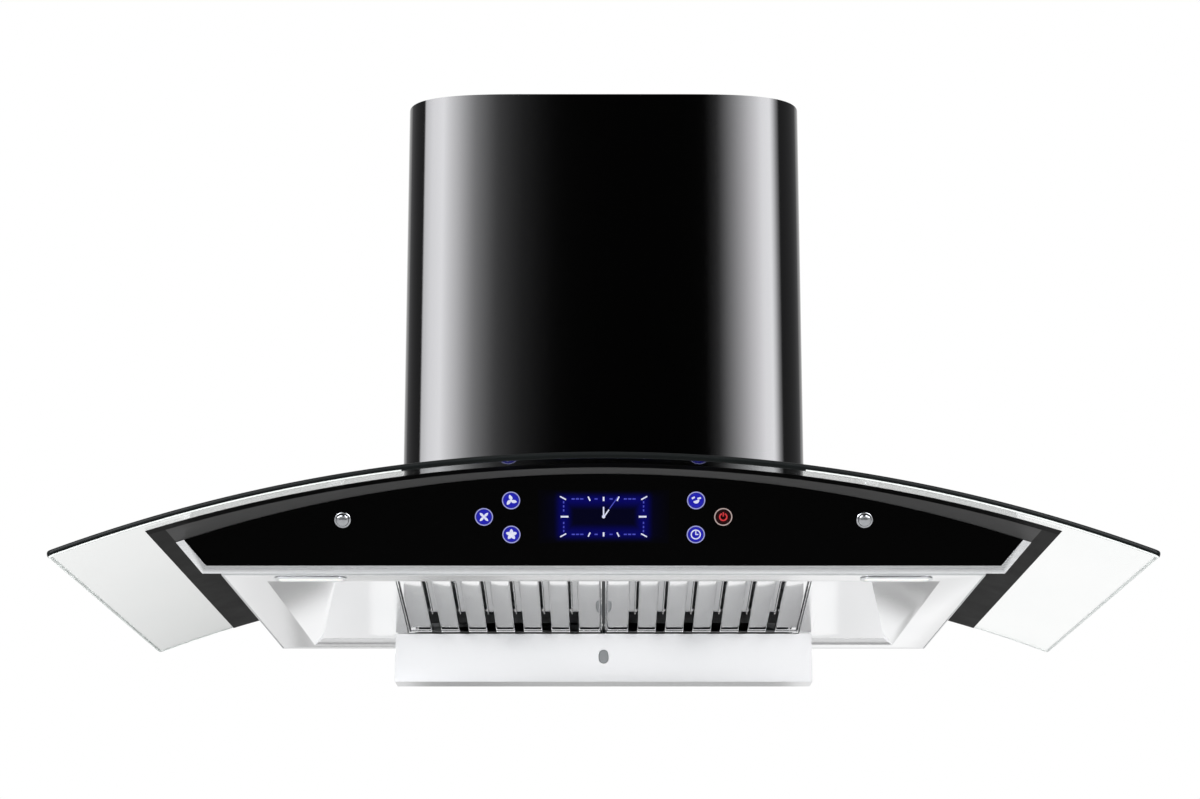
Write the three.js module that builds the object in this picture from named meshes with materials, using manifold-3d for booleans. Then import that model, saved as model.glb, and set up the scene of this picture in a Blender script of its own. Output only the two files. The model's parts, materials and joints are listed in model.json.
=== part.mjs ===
// Curved glass range hood, wall hung. Millimetres, +Z up, the wall is the plane y = 0 and the
// hood stands out from it along -Y. Depths in this file are distances from the wall. Heights are
// counted from the canopy's bottom rim, and the last lines lower everything so that the origin
// lies on the wall at the hanging bracket.
import * as THREE from 'three';
import { mergeVertices } from 'three/addons/utils/BufferGeometryUtils.js';
import Module from 'manifold-3d';

const wasm = await Module();
wasm.setup();

// Curved glass
const GLASS_WIDTH = 900;
const GLASS_DEPTH = 480;
const GLASS_THICKNESS = 5.5;
const GLASS_RADIUS = 1261;
const GLASS_CROWN_HEIGHT = 83.3;
const GLASS_WALL_GAP = 2;
const GASKET_THICKNESS = 1.5;
const GASKET_WIDTH = 16;
const ARC_STEPS = 40;

// Sheet metal and fits
const SHEET = 1.2;
const FIT = 0.3;
const SEAT_GAP = 0.3;

// Canopy
const CANOPY_WIDTH = 648;
const CANOPY_FOOT_DEPTH = 388;
const CANOPY_WALL_GAP = 1.5;
const PANEL_LEAN = 0.5;

// Smoke chamber underside
const FLANGE_SIDE = 35;
const FLANGE_FRONT_DEPTH = 355;
const FLANGE_REAR_DEPTH = 22;
const SIDE_WALL_LEAN = 1.18;
const FRONT_WALL_LEAN = 1.313;
const CEILING_HEIGHT_AT_TRAY = 10;
const CEILING_SLOPE = 0.16;
const SURROUND_WIDTH = 12.5;
const SURROUND_THICKNESS = 1.2;
const UPSTAND_HEIGHT = 10.5;

// Filters
const FILTER_PIVOT_DEPTH = 50;
const FILTER_WIDTH = 191.8;
const FILTER_THICKNESS = 11;
const FILTER_REAR = 14;
const FILTER_FRONT = 230;
const FILTER_GAP = 0.6;
const FILTER_SHEET = 1.2;
const FILTER_LIP = 5;
const FILTER_END_BOX = 30;
const PIN_RADIUS = 2.5;
const DIVIDER_THICKNESS = 2;
const DIVIDER_RISE = 1.5;
const SLAT_COUNT = 7;
const SLAT_WIDTH = 18.8;
const SLAT_SHEET = 0.9;
const SLAT_SIDE = 4.5;
const UPPER_SLAT_WIDTH = 8.6;
const UPPER_SLAT_SHIFT = 2;
const UPPER_SLAT_GAP = 1.5;
const UPPER_SLAT_END = 23;
const BOLT_REACH = 5;
const BOLT_WIDTH = 18;
const BOLT_THICKNESS = 3;
const BOLT_LENGTH = 22;
const BOLT_TRAVEL = 5;
const CATCH_GAP = 0.5;
const HANDLE_WIDTH = 70;
const HANDLE_DROP = 11;
const HANDLE_DEPTH = 10;
const HANDLE_FOOT = 12;
const HANDLE_FROM_PIVOT = 218;

// Grease tray
const TRAY_WIDTH = 413;
const TRAY_FRONT_DEPTH = 43;
const TRAY_BACK_DEPTH = 10;
const TRAY_BOTTOM = -40;
const TRAY_FACE_TOP = 8;
const TRAY_BACK_TOP = -3;
const TRAY_LIP = 10;
const TRAY_LIP_HEIGHT = -6.3;
const WINDOW_WIDTH = 9;
const WINDOW_HEIGHT = 13;
const RUNNER_FRONT_DEPTH = 38;

// Control panel, measured in the leaning plane of its face
const TRIM_WIDTH = 6.8;
const TRIM_THICKNESS = 6;
const TRIM_FOOT_HALF_WIDTH = 339;
const TRIM_END_SLANT = 0.777;
const PANEL_GLASS_THICKNESS = 4;
const CAP_RADIUS = 7;
const CAP_ACROSS = 219;
const CAP_UP = 47;
const DISPLAY_WIDTH = 116;
const DISPLAY_LOW = 25;
const DISPLAY_HIGH = 74;
const DISPLAY_THICKNESS = 1.7;
const CONTROL_BOX_WIDTH = 232;
const CONTROL_BOX_LOW = 22;
const CONTROL_BOX_HIGH = 66;
const CONTROL_BOX_DEPTH = 10.5;
const BOARD_THICKNESS = 1.6;

// Lamps
const LAMP_ACROSS = 250;
const LAMP_DEPTH = 367;
const LAMP_LENGTH = 62;
const LAMP_WIDTH = 17;
const LAMP_HOUSING_HEIGHT = 16;
const LAMP_RIM = 2;
const DRIVER_LENGTH = 80;
const DRIVER_WIDTH = 18;
const DRIVER_HEIGHT = 18.5;
const DRIVER_ACROSS = 150;

// Chimney
const CHIMNEY_WIDTH = 369;
const CHIMNEY_DEPTH = 281;
const CHIMNEY_TOP = 477;
const CHIMNEY_CORNER = 57;
const CHIMNEY_FLAT_HALF = 60;
const CHIMNEY_CORNER_POWER = 3.2;
const CHIMNEY_CORNER_STEPS = 16;
const CHIMNEY_RETURN = 16;
const EXTENSION_GAP = 0.9;
const EXTENSION_BACK_DEPTH = 7;
const EXTENSION_TOP = 474;
const EXTENSION_LENGTH = 376;

// Air path
const BOX_WIDTH = 332;
const BOX_BACK_DEPTH = 9;
const BOX_FRONT_DEPTH = 254;
const BOX_TOP = 400;
const THROAT_SIDE_INSET = 5;
const THROAT_BACK_INSET = 3;
const THROAT_FRONT_INSET = 6;
const THROAT_TOP = 96;
const BOX_FLOOR_LEDGE = 8;
const OUTLET_INSET = 2;
const NOTCH_CLEARANCE = 5;
const VOLUTE_DEPTH = 120;
const VOLUTE_CENTRE_X = -45;
const VOLUTE_CENTRE_Z = 235;
const VOLUTE_BACK_DEPTH = 72;
const VOLUTE_SMALL_RADIUS = 97;
const VOLUTE_LARGE_RADIUS = 128;
const TONGUE_ANGLE = 75;
const INLET_RADIUS = 74;
const IMPELLER_RADIUS = 85;
const IMPELLER_LENGTH = 108;
const BLADE_COUNT = 24;
const BLADE_CHORD = 16;
const HUB_RADIUS = 14;
const SHAFT_RADIUS = 4;
const MOTOR_RADIUS = 46;
const MOTOR_LENGTH = 62;
const MOTOR_BOSS_RADIUS = 14;
const MOTOR_BOSS_RISE = 4;
const SPIDER_SHEET = 3;
const SPIDER_RING_WIDTH = 8;
const SPIDER_ARM_LENGTH = 44;
const SPIDER_ARM_WIDTH = 14;
const COLLAR_RADIUS = 75;
const COLLAR_FLANGE = 13;
const COLLAR_HEIGHT = 60;
const FLAP_PIN_RADIUS = 2;
const FLAP_PIN_RISE = 16;
const FLAP_THICKNESS = 1;

// Electrics on the blower box
const JUNCTION_ACROSS = -110;
const JUNCTION_WIDTH = 80;
const JUNCTION_BACK_DEPTH = 20;
const JUNCTION_LENGTH = 55;
const JUNCTION_HEIGHT = 36;
const GLAND_NUT_RADIUS = 9;
const GLAND_NUT_LENGTH = 8;
const GLAND_RADIUS = 7;
const GLAND_CAP_LENGTH = 10;
const GLAND_BORE = 4;
const CAPACITOR_RADIUS = 16;
const CAPACITOR_LENGTH = 60;
const CAPACITOR_ACROSS = -125;
const CAPACITOR_DEPTH = 150;

// Wall bracket
const HANGING_HEIGHT = 290;
const BRACKET_WIDTH = 300;
const BRACKET_DROP = 30;
const BRACKET_RISE = 14;
const BRACKET_SHEET = 2;
const BRACKET_HOLE_RADIUS = 3.5;
const BRACKET_HOLE_INSET = 30;
const HOOK_RISE = 10;
const HOOK_GAP = 2.5;
const HOOK_SHEET = 1.5;
const RAIL_SHORTENING = 5;
const RAIL_BACK_DEPTH = 1.8;
const RAIL_CREST_SHEET = 2;
const RAIL_CREST_RISE = 4;
const RAIL_FOOT_DROP = 20;

const RADIAN = Math.PI / 180;
const glassCentreHeight = GLASS_CROWN_HEIGHT - GLASS_RADIUS;
const glassUnderRadius = GLASS_RADIUS - GLASS_THICKNESS;
const canopyTopRadius = glassUnderRadius - GASKET_THICKNESS - SEAT_GAP;

const finish = (color, roughness, metalness) => new THREE.MeshStandardMaterial({
  color,
  roughness,
  metalness,
});
const polishedSteel = finish(0xd9dadb, 0.2, 1);
const satinSteel = finish(0xb9bcbe, 0.4, 1);
const zincSteel = finish(0xa4a8ab, 0.5, 1);
const glossBlack = finish(0x0b0b0c, 0.15, 0.1);
const clearGlass = new THREE.MeshStandardMaterial({
  color: 0xdfe7e5,
  roughness: 0.05,
  metalness: 0,
  transparent: true,
  opacity: 0.4,
});
const blackPlastic = finish(0x1d1e20, 0.6, 0);
const greyPlastic = finish(0x6a6d70, 0.6, 0);
const whitePlastic = finish(0xe9e9e6, 0.5, 0);
const blackRubber = finish(0x17181a, 0.9, 0);
const boardGreen = finish(0x1f5a3a, 0.6, 0);
const lensWhite = finish(0xf4f2ea, 0.3, 0);

const hood = new THREE.Group();
const model = new THREE.Group();
hood.add(model);

// ---- Shared geometry -------------------------------------------------------------------------

function toSolid(geometry) {
  const bare = geometry.index ? geometry.toNonIndexed() : geometry.clone();
  bare.deleteAttribute('normal');
  bare.deleteAttribute('uv');
  const welded = mergeVertices(bare, 1e-4);
  return new wasm.Manifold(new wasm.Mesh({
    numProp: 3,
    vertProperties: Float32Array.from(welded.attributes.position.array),
    triVerts: Uint32Array.from(welded.index.array),
  }));
}

function toGeometry(solid) {
  const mesh = solid.getMesh();
  const geometry = new THREE.BufferGeometry();
  const positions = Float32Array.from(mesh.vertProperties);
  geometry.setAttribute('position', new THREE.BufferAttribute(positions, 3));
  geometry.setIndex(new THREE.BufferAttribute(Uint32Array.from(mesh.triVerts), 1));
  geometry.computeVertexNormals();
  return geometry;
}

const join = (...solids) => solids.reduce((whole, solid) => whole.add(solid));
const cut = (solid, ...tools) => tools.reduce((rest, tool) => rest.subtract(tool), solid);

// A box between two values on each axis.
function block([x0, x1], [y0, y1], [z0, z1]) {
  const box = new THREE.BoxGeometry(x1 - x0, y1 - y0, z1 - z0);
  box.translate((x0 + x1) / 2, (y0 + y1) / 2, (z0 + z1) / 2);
  return toSolid(box);
}

// A box whose second pair is a distance from the wall.
const deepBlock = (x, [near, far], z) => block(x, [-far, -near], z);

const outline = (points) => new THREE.Shape(points.map(([a, b]) => new THREE.Vector2(a, b)));

function extrude(shape, depth, curveSegments = 12) {
  return new THREE.ExtrudeGeometry(shape, { depth, bevelEnabled: false, curveSegments });
}

// A front view outline (x, z) carried from one depth to another.
function alongDepth(shape, near, far, curveSegments) {
  const geometry = extrude(shape, far - near, curveSegments);
  geometry.rotateX(Math.PI / 2);
  geometry.translate(0, -near, 0);
  return toSolid(geometry);
}

// A side view outline of (depth, z) points carried across the width.
function acrossWidth(points, x0, x1) {
  const shape = outline(points.map(([depth, z]) => [-depth, z]));
  const geometry = extrude(shape, x1 - x0);
  const turn = new THREE.Matrix4().makeBasis(
    new THREE.Vector3(0, 1, 0),
    new THREE.Vector3(0, 0, 1),
    new THREE.Vector3(1, 0, 0),
  );
  geometry.applyMatrix4(turn);
  geometry.translate(x0, 0, 0);
  return toSolid(geometry);
}

// A plan view outline (x, y) carried upwards.
function upward(shape, z0, z1, curveSegments) {
  const geometry = extrude(shape, z1 - z0, curveSegments);
  geometry.translate(0, 0, z0);
  return toSolid(geometry);
}

// A cylinder between two points of one axis: 'x', 'y' or 'z'.
function rod(axis, radius, from, to, [a, b], sides = 24) {
  const cylinder = new THREE.CylinderGeometry(radius, radius, to - from, sides);
  cylinder.translate(0, (from + to) / 2, 0);
  if (axis === 'x') {
    cylinder.rotateZ(-Math.PI / 2);
    cylinder.translate(0, a, b);
  } else if (axis === 'y') {
    cylinder.translate(a, 0, b);
  } else {
    cylinder.rotateX(Math.PI / 2);
    cylinder.translate(a, b, 0);
  }
  return toSolid(cylinder);
}

function node(name, solid, material, parent = model) {
  const mesh = new THREE.Mesh(solid.getMesh ? toGeometry(solid) : solid, material);
  mesh.name = name;
  parent.add(mesh);
  return mesh;
}

const sides = [
  ['left', -1],
  ['right', 1],
];

// ---- The glass's arc -------------------------------------------------------------------------

const arcHeight = (x, radius) => glassCentreHeight + Math.sqrt(radius ** 2 - x ** 2);

// Everything under an arc about the glass's axis, from one depth to another.
function underArc(radius, near, far) {
  const reach = 21.5 * RADIAN;
  const points = [];
  for (let step = 0; step <= ARC_STEPS; step += 1) {
    const angle = -reach + (2 * reach * step) / ARC_STEPS;
    points.push([radius * Math.sin(angle), glassCentreHeight + radius * Math.cos(angle)]);
  }
  const floor = -200;
  points.push([radius * Math.sin(reach), floor], [-radius * Math.sin(reach), floor]);
  return alongDepth(outline(points), near, far);
}

const arcBand = (outer, inner, near, far) => cut(
  underArc(outer, near, far),
  underArc(inner, near - 1, far + 1),
);

// ---- Canopy ----------------------------------------------------------------------------------

const canopyHalf = CANOPY_WIDTH / 2;
const leanAngle = Math.atan(PANEL_LEAN);
const leanStretch = 1 / Math.cos(leanAngle);
const tallest = GLASS_CROWN_HEIGHT + 20;

// Depth of a plane parallel to the panel's face and set back from it, at a height.
const faceDepth = (setBack, z) => CANOPY_FOOT_DEPTH - setBack * leanStretch + PANEL_LEAN * z;

// The canopy's side view, shrunk by a wall.
function canopyProfile(wall) {
  const setBack = TRIM_THICKNESS + FIT + wall;
  const low = wall > 0 ? -5 : 0;
  return [
    [CANOPY_WALL_GAP + wall, low],
    [faceDepth(setBack, low), low],
    [faceDepth(setBack, tallest), tallest],
    [CANOPY_WALL_GAP + wall, tallest],
  ];
}

const canopyOuter = acrossWidth(canopyProfile(0), -canopyHalf, canopyHalf)
  .intersect(underArc(canopyTopRadius, 0, GLASS_DEPTH));
const canopyInner = acrossWidth(canopyProfile(SHEET), -canopyHalf + SHEET, canopyHalf - SHEET)
  .intersect(underArc(canopyTopRadius - SHEET, 0, GLASS_DEPTH));

const throatHalf = BOX_WIDTH / 2 - THROAT_SIDE_INSET;
const throatBack = BOX_BACK_DEPTH + THROAT_BACK_INSET;
const throatFront = BOX_FRONT_DEPTH - THROAT_FRONT_INSET;
const throatOuter = deepBlock(
  [-throatHalf, throatHalf],
  [throatBack, throatFront],
  [arcHeight(throatHalf, canopyTopRadius) - SHEET, THROAT_TOP],
);
const throatInner = deepBlock(
  [-throatHalf + SHEET, throatHalf - SHEET],
  [throatBack + SHEET, throatFront - SHEET],
  [0, THROAT_TOP + 1],
);

// The panel's own axes: across, up the slope, and out of the face.
const panelAxes = new THREE.Matrix4().makeBasis(
  new THREE.Vector3(1, 0, 0),
  new THREE.Vector3(0, -Math.sin(leanAngle), Math.cos(leanAngle)),
  new THREE.Vector3(0, -Math.cos(leanAngle), -Math.sin(leanAngle)),
);
panelAxes.setPosition(0, -CANOPY_FOOT_DEPTH, 0);

// An outline in the panel's plane, carried from one level to another along its normal.
function panelPrism(shape, back, front, curveSegments) {
  const geometry = extrude(shape, front - back, curveSegments);
  geometry.translate(0, 0, back);
  geometry.applyMatrix4(panelAxes);
  return toSolid(geometry);
}

const panelBlock = (half, [low, high], [back, front]) => panelPrism(
  outline([[-half, low], [half, low], [half, high], [-half, high]]),
  back,
  front,
);

// The panel's trapezoid, shrunk evenly by an inset at its foot and ends.
function panelOutline(inset, low = inset) {
  const endStretch = Math.hypot(1, TRIM_END_SLANT);
  const halfAt = (up) => TRIM_FOOT_HALF_WIDTH + TRIM_END_SLANT * up - inset * endStretch;
  const high = 120;
  return outline([
    [-halfAt(low), low],
    [halfAt(low), low],
    [halfAt(high), high],
    [-halfAt(high), high],
  ]);
}

const controlBoxHalf = CONTROL_BOX_WIDTH / 2;
const controlBoxBack = -TRIM_THICKNESS - SEAT_GAP - CONTROL_BOX_DEPTH;
const controlOpening = panelBlock(
  controlBoxHalf + FIT,
  [CONTROL_BOX_LOW - FIT, CONTROL_BOX_HIGH + FIT],
  [controlBoxBack, 1],
);

// Screw places: each is an angle along the glass's arc and a depth.
const SCREW_ACROSS = 174;
const screwAngle = Math.asin(SCREW_ACROSS / glassUnderRadius);
const SCREW_DEPTHS = { rear: 40, front: 225 };
const SCREW_HEAD_RADIUS = 5.5;
const SCREW_HEAD_HEIGHT = 3;
const SCREW_SHANK_RADIUS = 2.4;
const SCREW_HOLE_RADIUS = 3;

// A cylinder square to the glass, between two distances from the glass's axis.
function radialRod(radius, from, to, side, depth, segments = 16) {
  const cylinder = new THREE.CylinderGeometry(radius, radius, to - from, segments);
  cylinder.rotateX(Math.PI / 2);
  cylinder.translate(0, 0, (from + to) / 2);
  cylinder.rotateY(side * screwAngle);
  cylinder.translate(0, -depth, glassCentreHeight);
  return toSolid(cylinder);
}

const capHoles = sides.map(([, sign]) => {
  const hole = new THREE.Shape();
  hole.absarc(sign * CAP_ACROSS, CAP_UP, SCREW_HOLE_RADIUS, 0, 2 * Math.PI, false);
  return panelPrism(hole, -30, 5);
});

const screwPlaces = [];
for (const [side, sign] of sides) {
  for (const [end, depth] of Object.entries(SCREW_DEPTHS)) {
    screwPlaces.push({ name: `glass_screw_${end}_${side}`, sign, depth });
  }
}
const screwHoles = screwPlaces.map(({ sign, depth }) => radialRod(
  SCREW_HOLE_RADIUS,
  canopyTopRadius - 12,
  GLASS_RADIUS + 5,
  sign,
  depth,
));

node(
  'canopy_shell',
  cut(
    join(canopyOuter, throatOuter),
    canopyInner,
    throatInner,
    controlOpening,
    ...capHoles,
    ...screwHoles,
  ),
  satinSteel,
);

// ---- Glass and gasket ------------------------------------------------------------------------

const boxHalf = BOX_WIDTH / 2;
const notch = deepBlock(
  [-boxHalf - NOTCH_CLEARANCE, boxHalf + NOTCH_CLEARANCE],
  [-1, BOX_FRONT_DEPTH + NOTCH_CLEARANCE],
  [0, tallest + 20],
);
const glassSlab = arcBand(GLASS_RADIUS, glassUnderRadius, GLASS_WALL_GAP, GLASS_DEPTH);
const glassTrim = deepBlock([-GLASS_WIDTH / 2, GLASS_WIDTH / 2], [0, GLASS_DEPTH + 1], [-150, 150]);
node('curved_glass', cut(glassSlab.intersect(glassTrim), notch, ...screwHoles), clearGlass);

const gasketInner = boxHalf + NOTCH_CLEARANCE;
const gasketOuter = gasketInner + GASKET_WIDTH;
const gasketRing = cut(
  deepBlock(
    [-gasketOuter, gasketOuter],
    [GLASS_WALL_GAP, BOX_FRONT_DEPTH + NOTCH_CLEARANCE + GASKET_WIDTH],
    [0, tallest],
  ),
  notch,
);
const gasketBand = arcBand(
  glassUnderRadius - SEAT_GAP / 2,
  canopyTopRadius + SEAT_GAP / 2,
  0,
  GLASS_DEPTH,
);
node('glass_gasket', cut(gasketBand.intersect(gasketRing), ...screwHoles), blackRubber);

for (const { name, sign, depth } of screwPlaces) {
  const seat = GLASS_RADIUS + SEAT_GAP;
  const screw = join(
    radialRod(SCREW_HEAD_RADIUS, seat, seat + SCREW_HEAD_HEIGHT, sign, depth),
    radialRod(SCREW_SHANK_RADIUS, canopyTopRadius - 7, seat + 1, sign, depth),
  );
  node(name, screw, zincSteel);
}

// ---- Smoke chamber liner ---------------------------------------------------------------------

const flangeInnerHalf = canopyHalf - FLANGE_SIDE;
const ceilingHeight = (depth) => CEILING_HEIGHT_AT_TRAY + CEILING_SLOPE * (depth - TRAY_FRONT_DEPTH);
const ceilingTilt = Math.atan(CEILING_SLOPE);
const ceilingSheet = SHEET / Math.cos(ceilingTilt);

// The chamber's hollow, grown outwards by the sheet for the liner's upper side.
function chamber(grow) {
  const wallRise = 150;
  const floor = grow > 0 ? 0 : -1;
  const sideStretch = Math.hypot(1, SIDE_WALL_LEAN);
  const half = flangeInnerHalf + grow * sideStretch;
  const frontFoot = FLANGE_FRONT_DEPTH + grow * Math.hypot(1, FRONT_WALL_LEAN);
  const rearDepth = FLANGE_REAR_DEPTH - grow;
  const frontTop = frontFoot - FRONT_WALL_LEAN * wallRise;
  const sidesView = outline([
    [-half - SIDE_WALL_LEAN, floor],
    [half + SIDE_WALL_LEAN, floor],
    [half - SIDE_WALL_LEAN * wallRise, wallRise],
    [-half + SIDE_WALL_LEAN * wallRise, wallRise],
  ]);
  const roof = (depth) => ceilingHeight(depth) + (grow > 0 ? ceilingSheet : 0);
  const across = alongDepth(sidesView, 0, GLASS_DEPTH);
  const frontWall = acrossWidth(
    [[rearDepth, floor], [frontFoot, floor], [frontTop, wallRise], [rearDepth, wallRise]],
    -canopyHalf,
    canopyHalf,
  );
  const underRoof = acrossWidth(
    [[0, floor - 1], [GLASS_DEPTH, floor - 1], [GLASS_DEPTH, roof(GLASS_DEPTH)], [0, roof(0)]],
    -canopyHalf,
    canopyHalf,
  );
  return across.intersect(frontWall).intersect(underRoof);
}

const filterTilt = -ceilingTilt;
const filterHalfThickness = FILTER_THICKNESS / 2;
const pivotHeight = ceilingHeight(FILTER_PIVOT_DEPTH) + filterHalfThickness / Math.cos(ceilingTilt);
const filterReach = FILTER_FRONT + BOLT_REACH + CATCH_GAP;
const openingFrontDepth = FILTER_PIVOT_DEPTH + filterReach * Math.cos(ceilingTilt)
  + filterHalfThickness * Math.sin(ceilingTilt);
const openingRearDepth = FILTER_PIVOT_DEPTH - (FILTER_REAR + 2) * Math.cos(ceilingTilt);
const openingHalf = DIVIDER_THICKNESS / 2 + 2 * FILTER_GAP + FILTER_WIDTH;

// A sheet that follows the sloping ceiling between two depths and two heights above it.
function ceilingStrip([x0, x1], [near, far], [low, high]) {
  return acrossWidth(
    [
      [near, ceilingHeight(near) + low],
      [far, ceilingHeight(far) + low],
      [far, ceilingHeight(far) + high],
      [near, ceilingHeight(near) + high],
    ],
    x0,
    x1,
  );
}

const flangePlate = deepBlock(
  [-canopyHalf + SHEET + FIT, canopyHalf - SHEET - FIT],
  [CANOPY_WALL_GAP + SHEET + FIT, faceDepth(TRIM_THICKNESS + FIT + SHEET, 0) - FIT],
  [0, SHEET],
);
const filterOpening = deepBlock(
  [-openingHalf, openingHalf],
  [openingRearDepth, openingFrontDepth],
  [-5, tallest],
);
const upstandWalls = sides.map(([, sign]) => {
  const inner = sign * openingHalf;
  const outer = sign * (openingHalf + SHEET);
  return ceilingStrip(
    [Math.min(inner, outer), Math.max(inner, outer)],
    [openingRearDepth, openingFrontDepth],
    [0, UPSTAND_HEIGHT],
  );
});
const surroundOuterHalf = openingHalf + SURROUND_WIDTH;
const surroundStrips = sides.map(([, sign]) => {
  const inner = sign * openingHalf;
  const outer = sign * surroundOuterHalf;
  return ceilingStrip(
    [Math.min(inner, outer), Math.max(inner, outer)],
    [TRAY_FRONT_DEPTH + 1, openingFrontDepth],
    [-SURROUND_THICKNESS, 0.4],
  );
});
const STOP_HALF = 150;
const frontUpstand = ceilingStrip(
  [-STOP_HALF, STOP_HALF],
  [openingFrontDepth, openingFrontDepth + SHEET],
  [0, FILTER_THICKNESS + SHEET + 1],
);
const stopLip = ceilingStrip(
  [-STOP_HALF, STOP_HALF],
  [openingFrontDepth - BOLT_REACH - 6, openingFrontDepth + SHEET],
  [FILTER_THICKNESS + 1, FILTER_THICKNESS + SHEET + 1],
);
const slotWidth = 2 * (PIN_RADIUS + FIT);
const pinSlot = deepBlock(
  [-openingHalf - SHEET - 1, openingHalf + SHEET + 1],
  [FILTER_PIVOT_DEPTH - slotWidth / 2, FILTER_PIVOT_DEPTH + slotWidth / 2],
  [pivotHeight, pivotHeight + 20],
);
const pinSeat = rod(
  'x',
  PIN_RADIUS + FIT,
  -openingHalf - SHEET - 1,
  openingHalf + SHEET + 1,
  [-FILTER_PIVOT_DEPTH, pivotHeight],
);

// Slotted outline of a lamp, as long as it is across and with round ends.
function lampOutline(centreX, length, width) {
  const shape = new THREE.Shape();
  const reach = (length - width) / 2;
  shape.absarc(centreX + reach, -LAMP_DEPTH, width / 2, -Math.PI / 2, Math.PI / 2, false);
  shape.absarc(centreX - reach, -LAMP_DEPTH, width / 2, Math.PI / 2, 1.5 * Math.PI, false);
  return shape;
}
const lampHoles = sides.map(([, sign]) => upward(
  lampOutline(sign * LAMP_ACROSS, LAMP_LENGTH - 2, LAMP_WIDTH - 2),
  -5,
  5,
));

node(
  'smoke_liner',
  cut(
    join(
      cut(join(flangePlate, chamber(SHEET)), chamber(0), filterOpening),
      ...upstandWalls,
      ...surroundStrips,
      frontUpstand,
      stopLip,
    ),
    pinSlot,
    pinSeat,
    ...lampHoles,
  ),
  polishedSteel,
);

const dividerHalf = DIVIDER_THICKNESS / 2;
const dividerPlate = ceilingStrip(
  [-dividerHalf, dividerHalf],
  [openingRearDepth + SEAT_GAP, openingFrontDepth - SEAT_GAP],
  [DIVIDER_RISE, UPSTAND_HEIGHT],
);
node('filter_divider', cut(dividerPlate, pinSlot, pinSeat), blackPlastic);

// ---- Baffle filters --------------------------------------------------------------------------

const slatPitch = FILTER_WIDTH / SLAT_COUNT;
const frameBottom = -filterHalfThickness;
const frameTop = filterHalfThickness;
const lipTop = frameBottom + FILTER_SHEET;
const endBoxBack = -FILTER_FRONT + FILTER_END_BOX;

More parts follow.
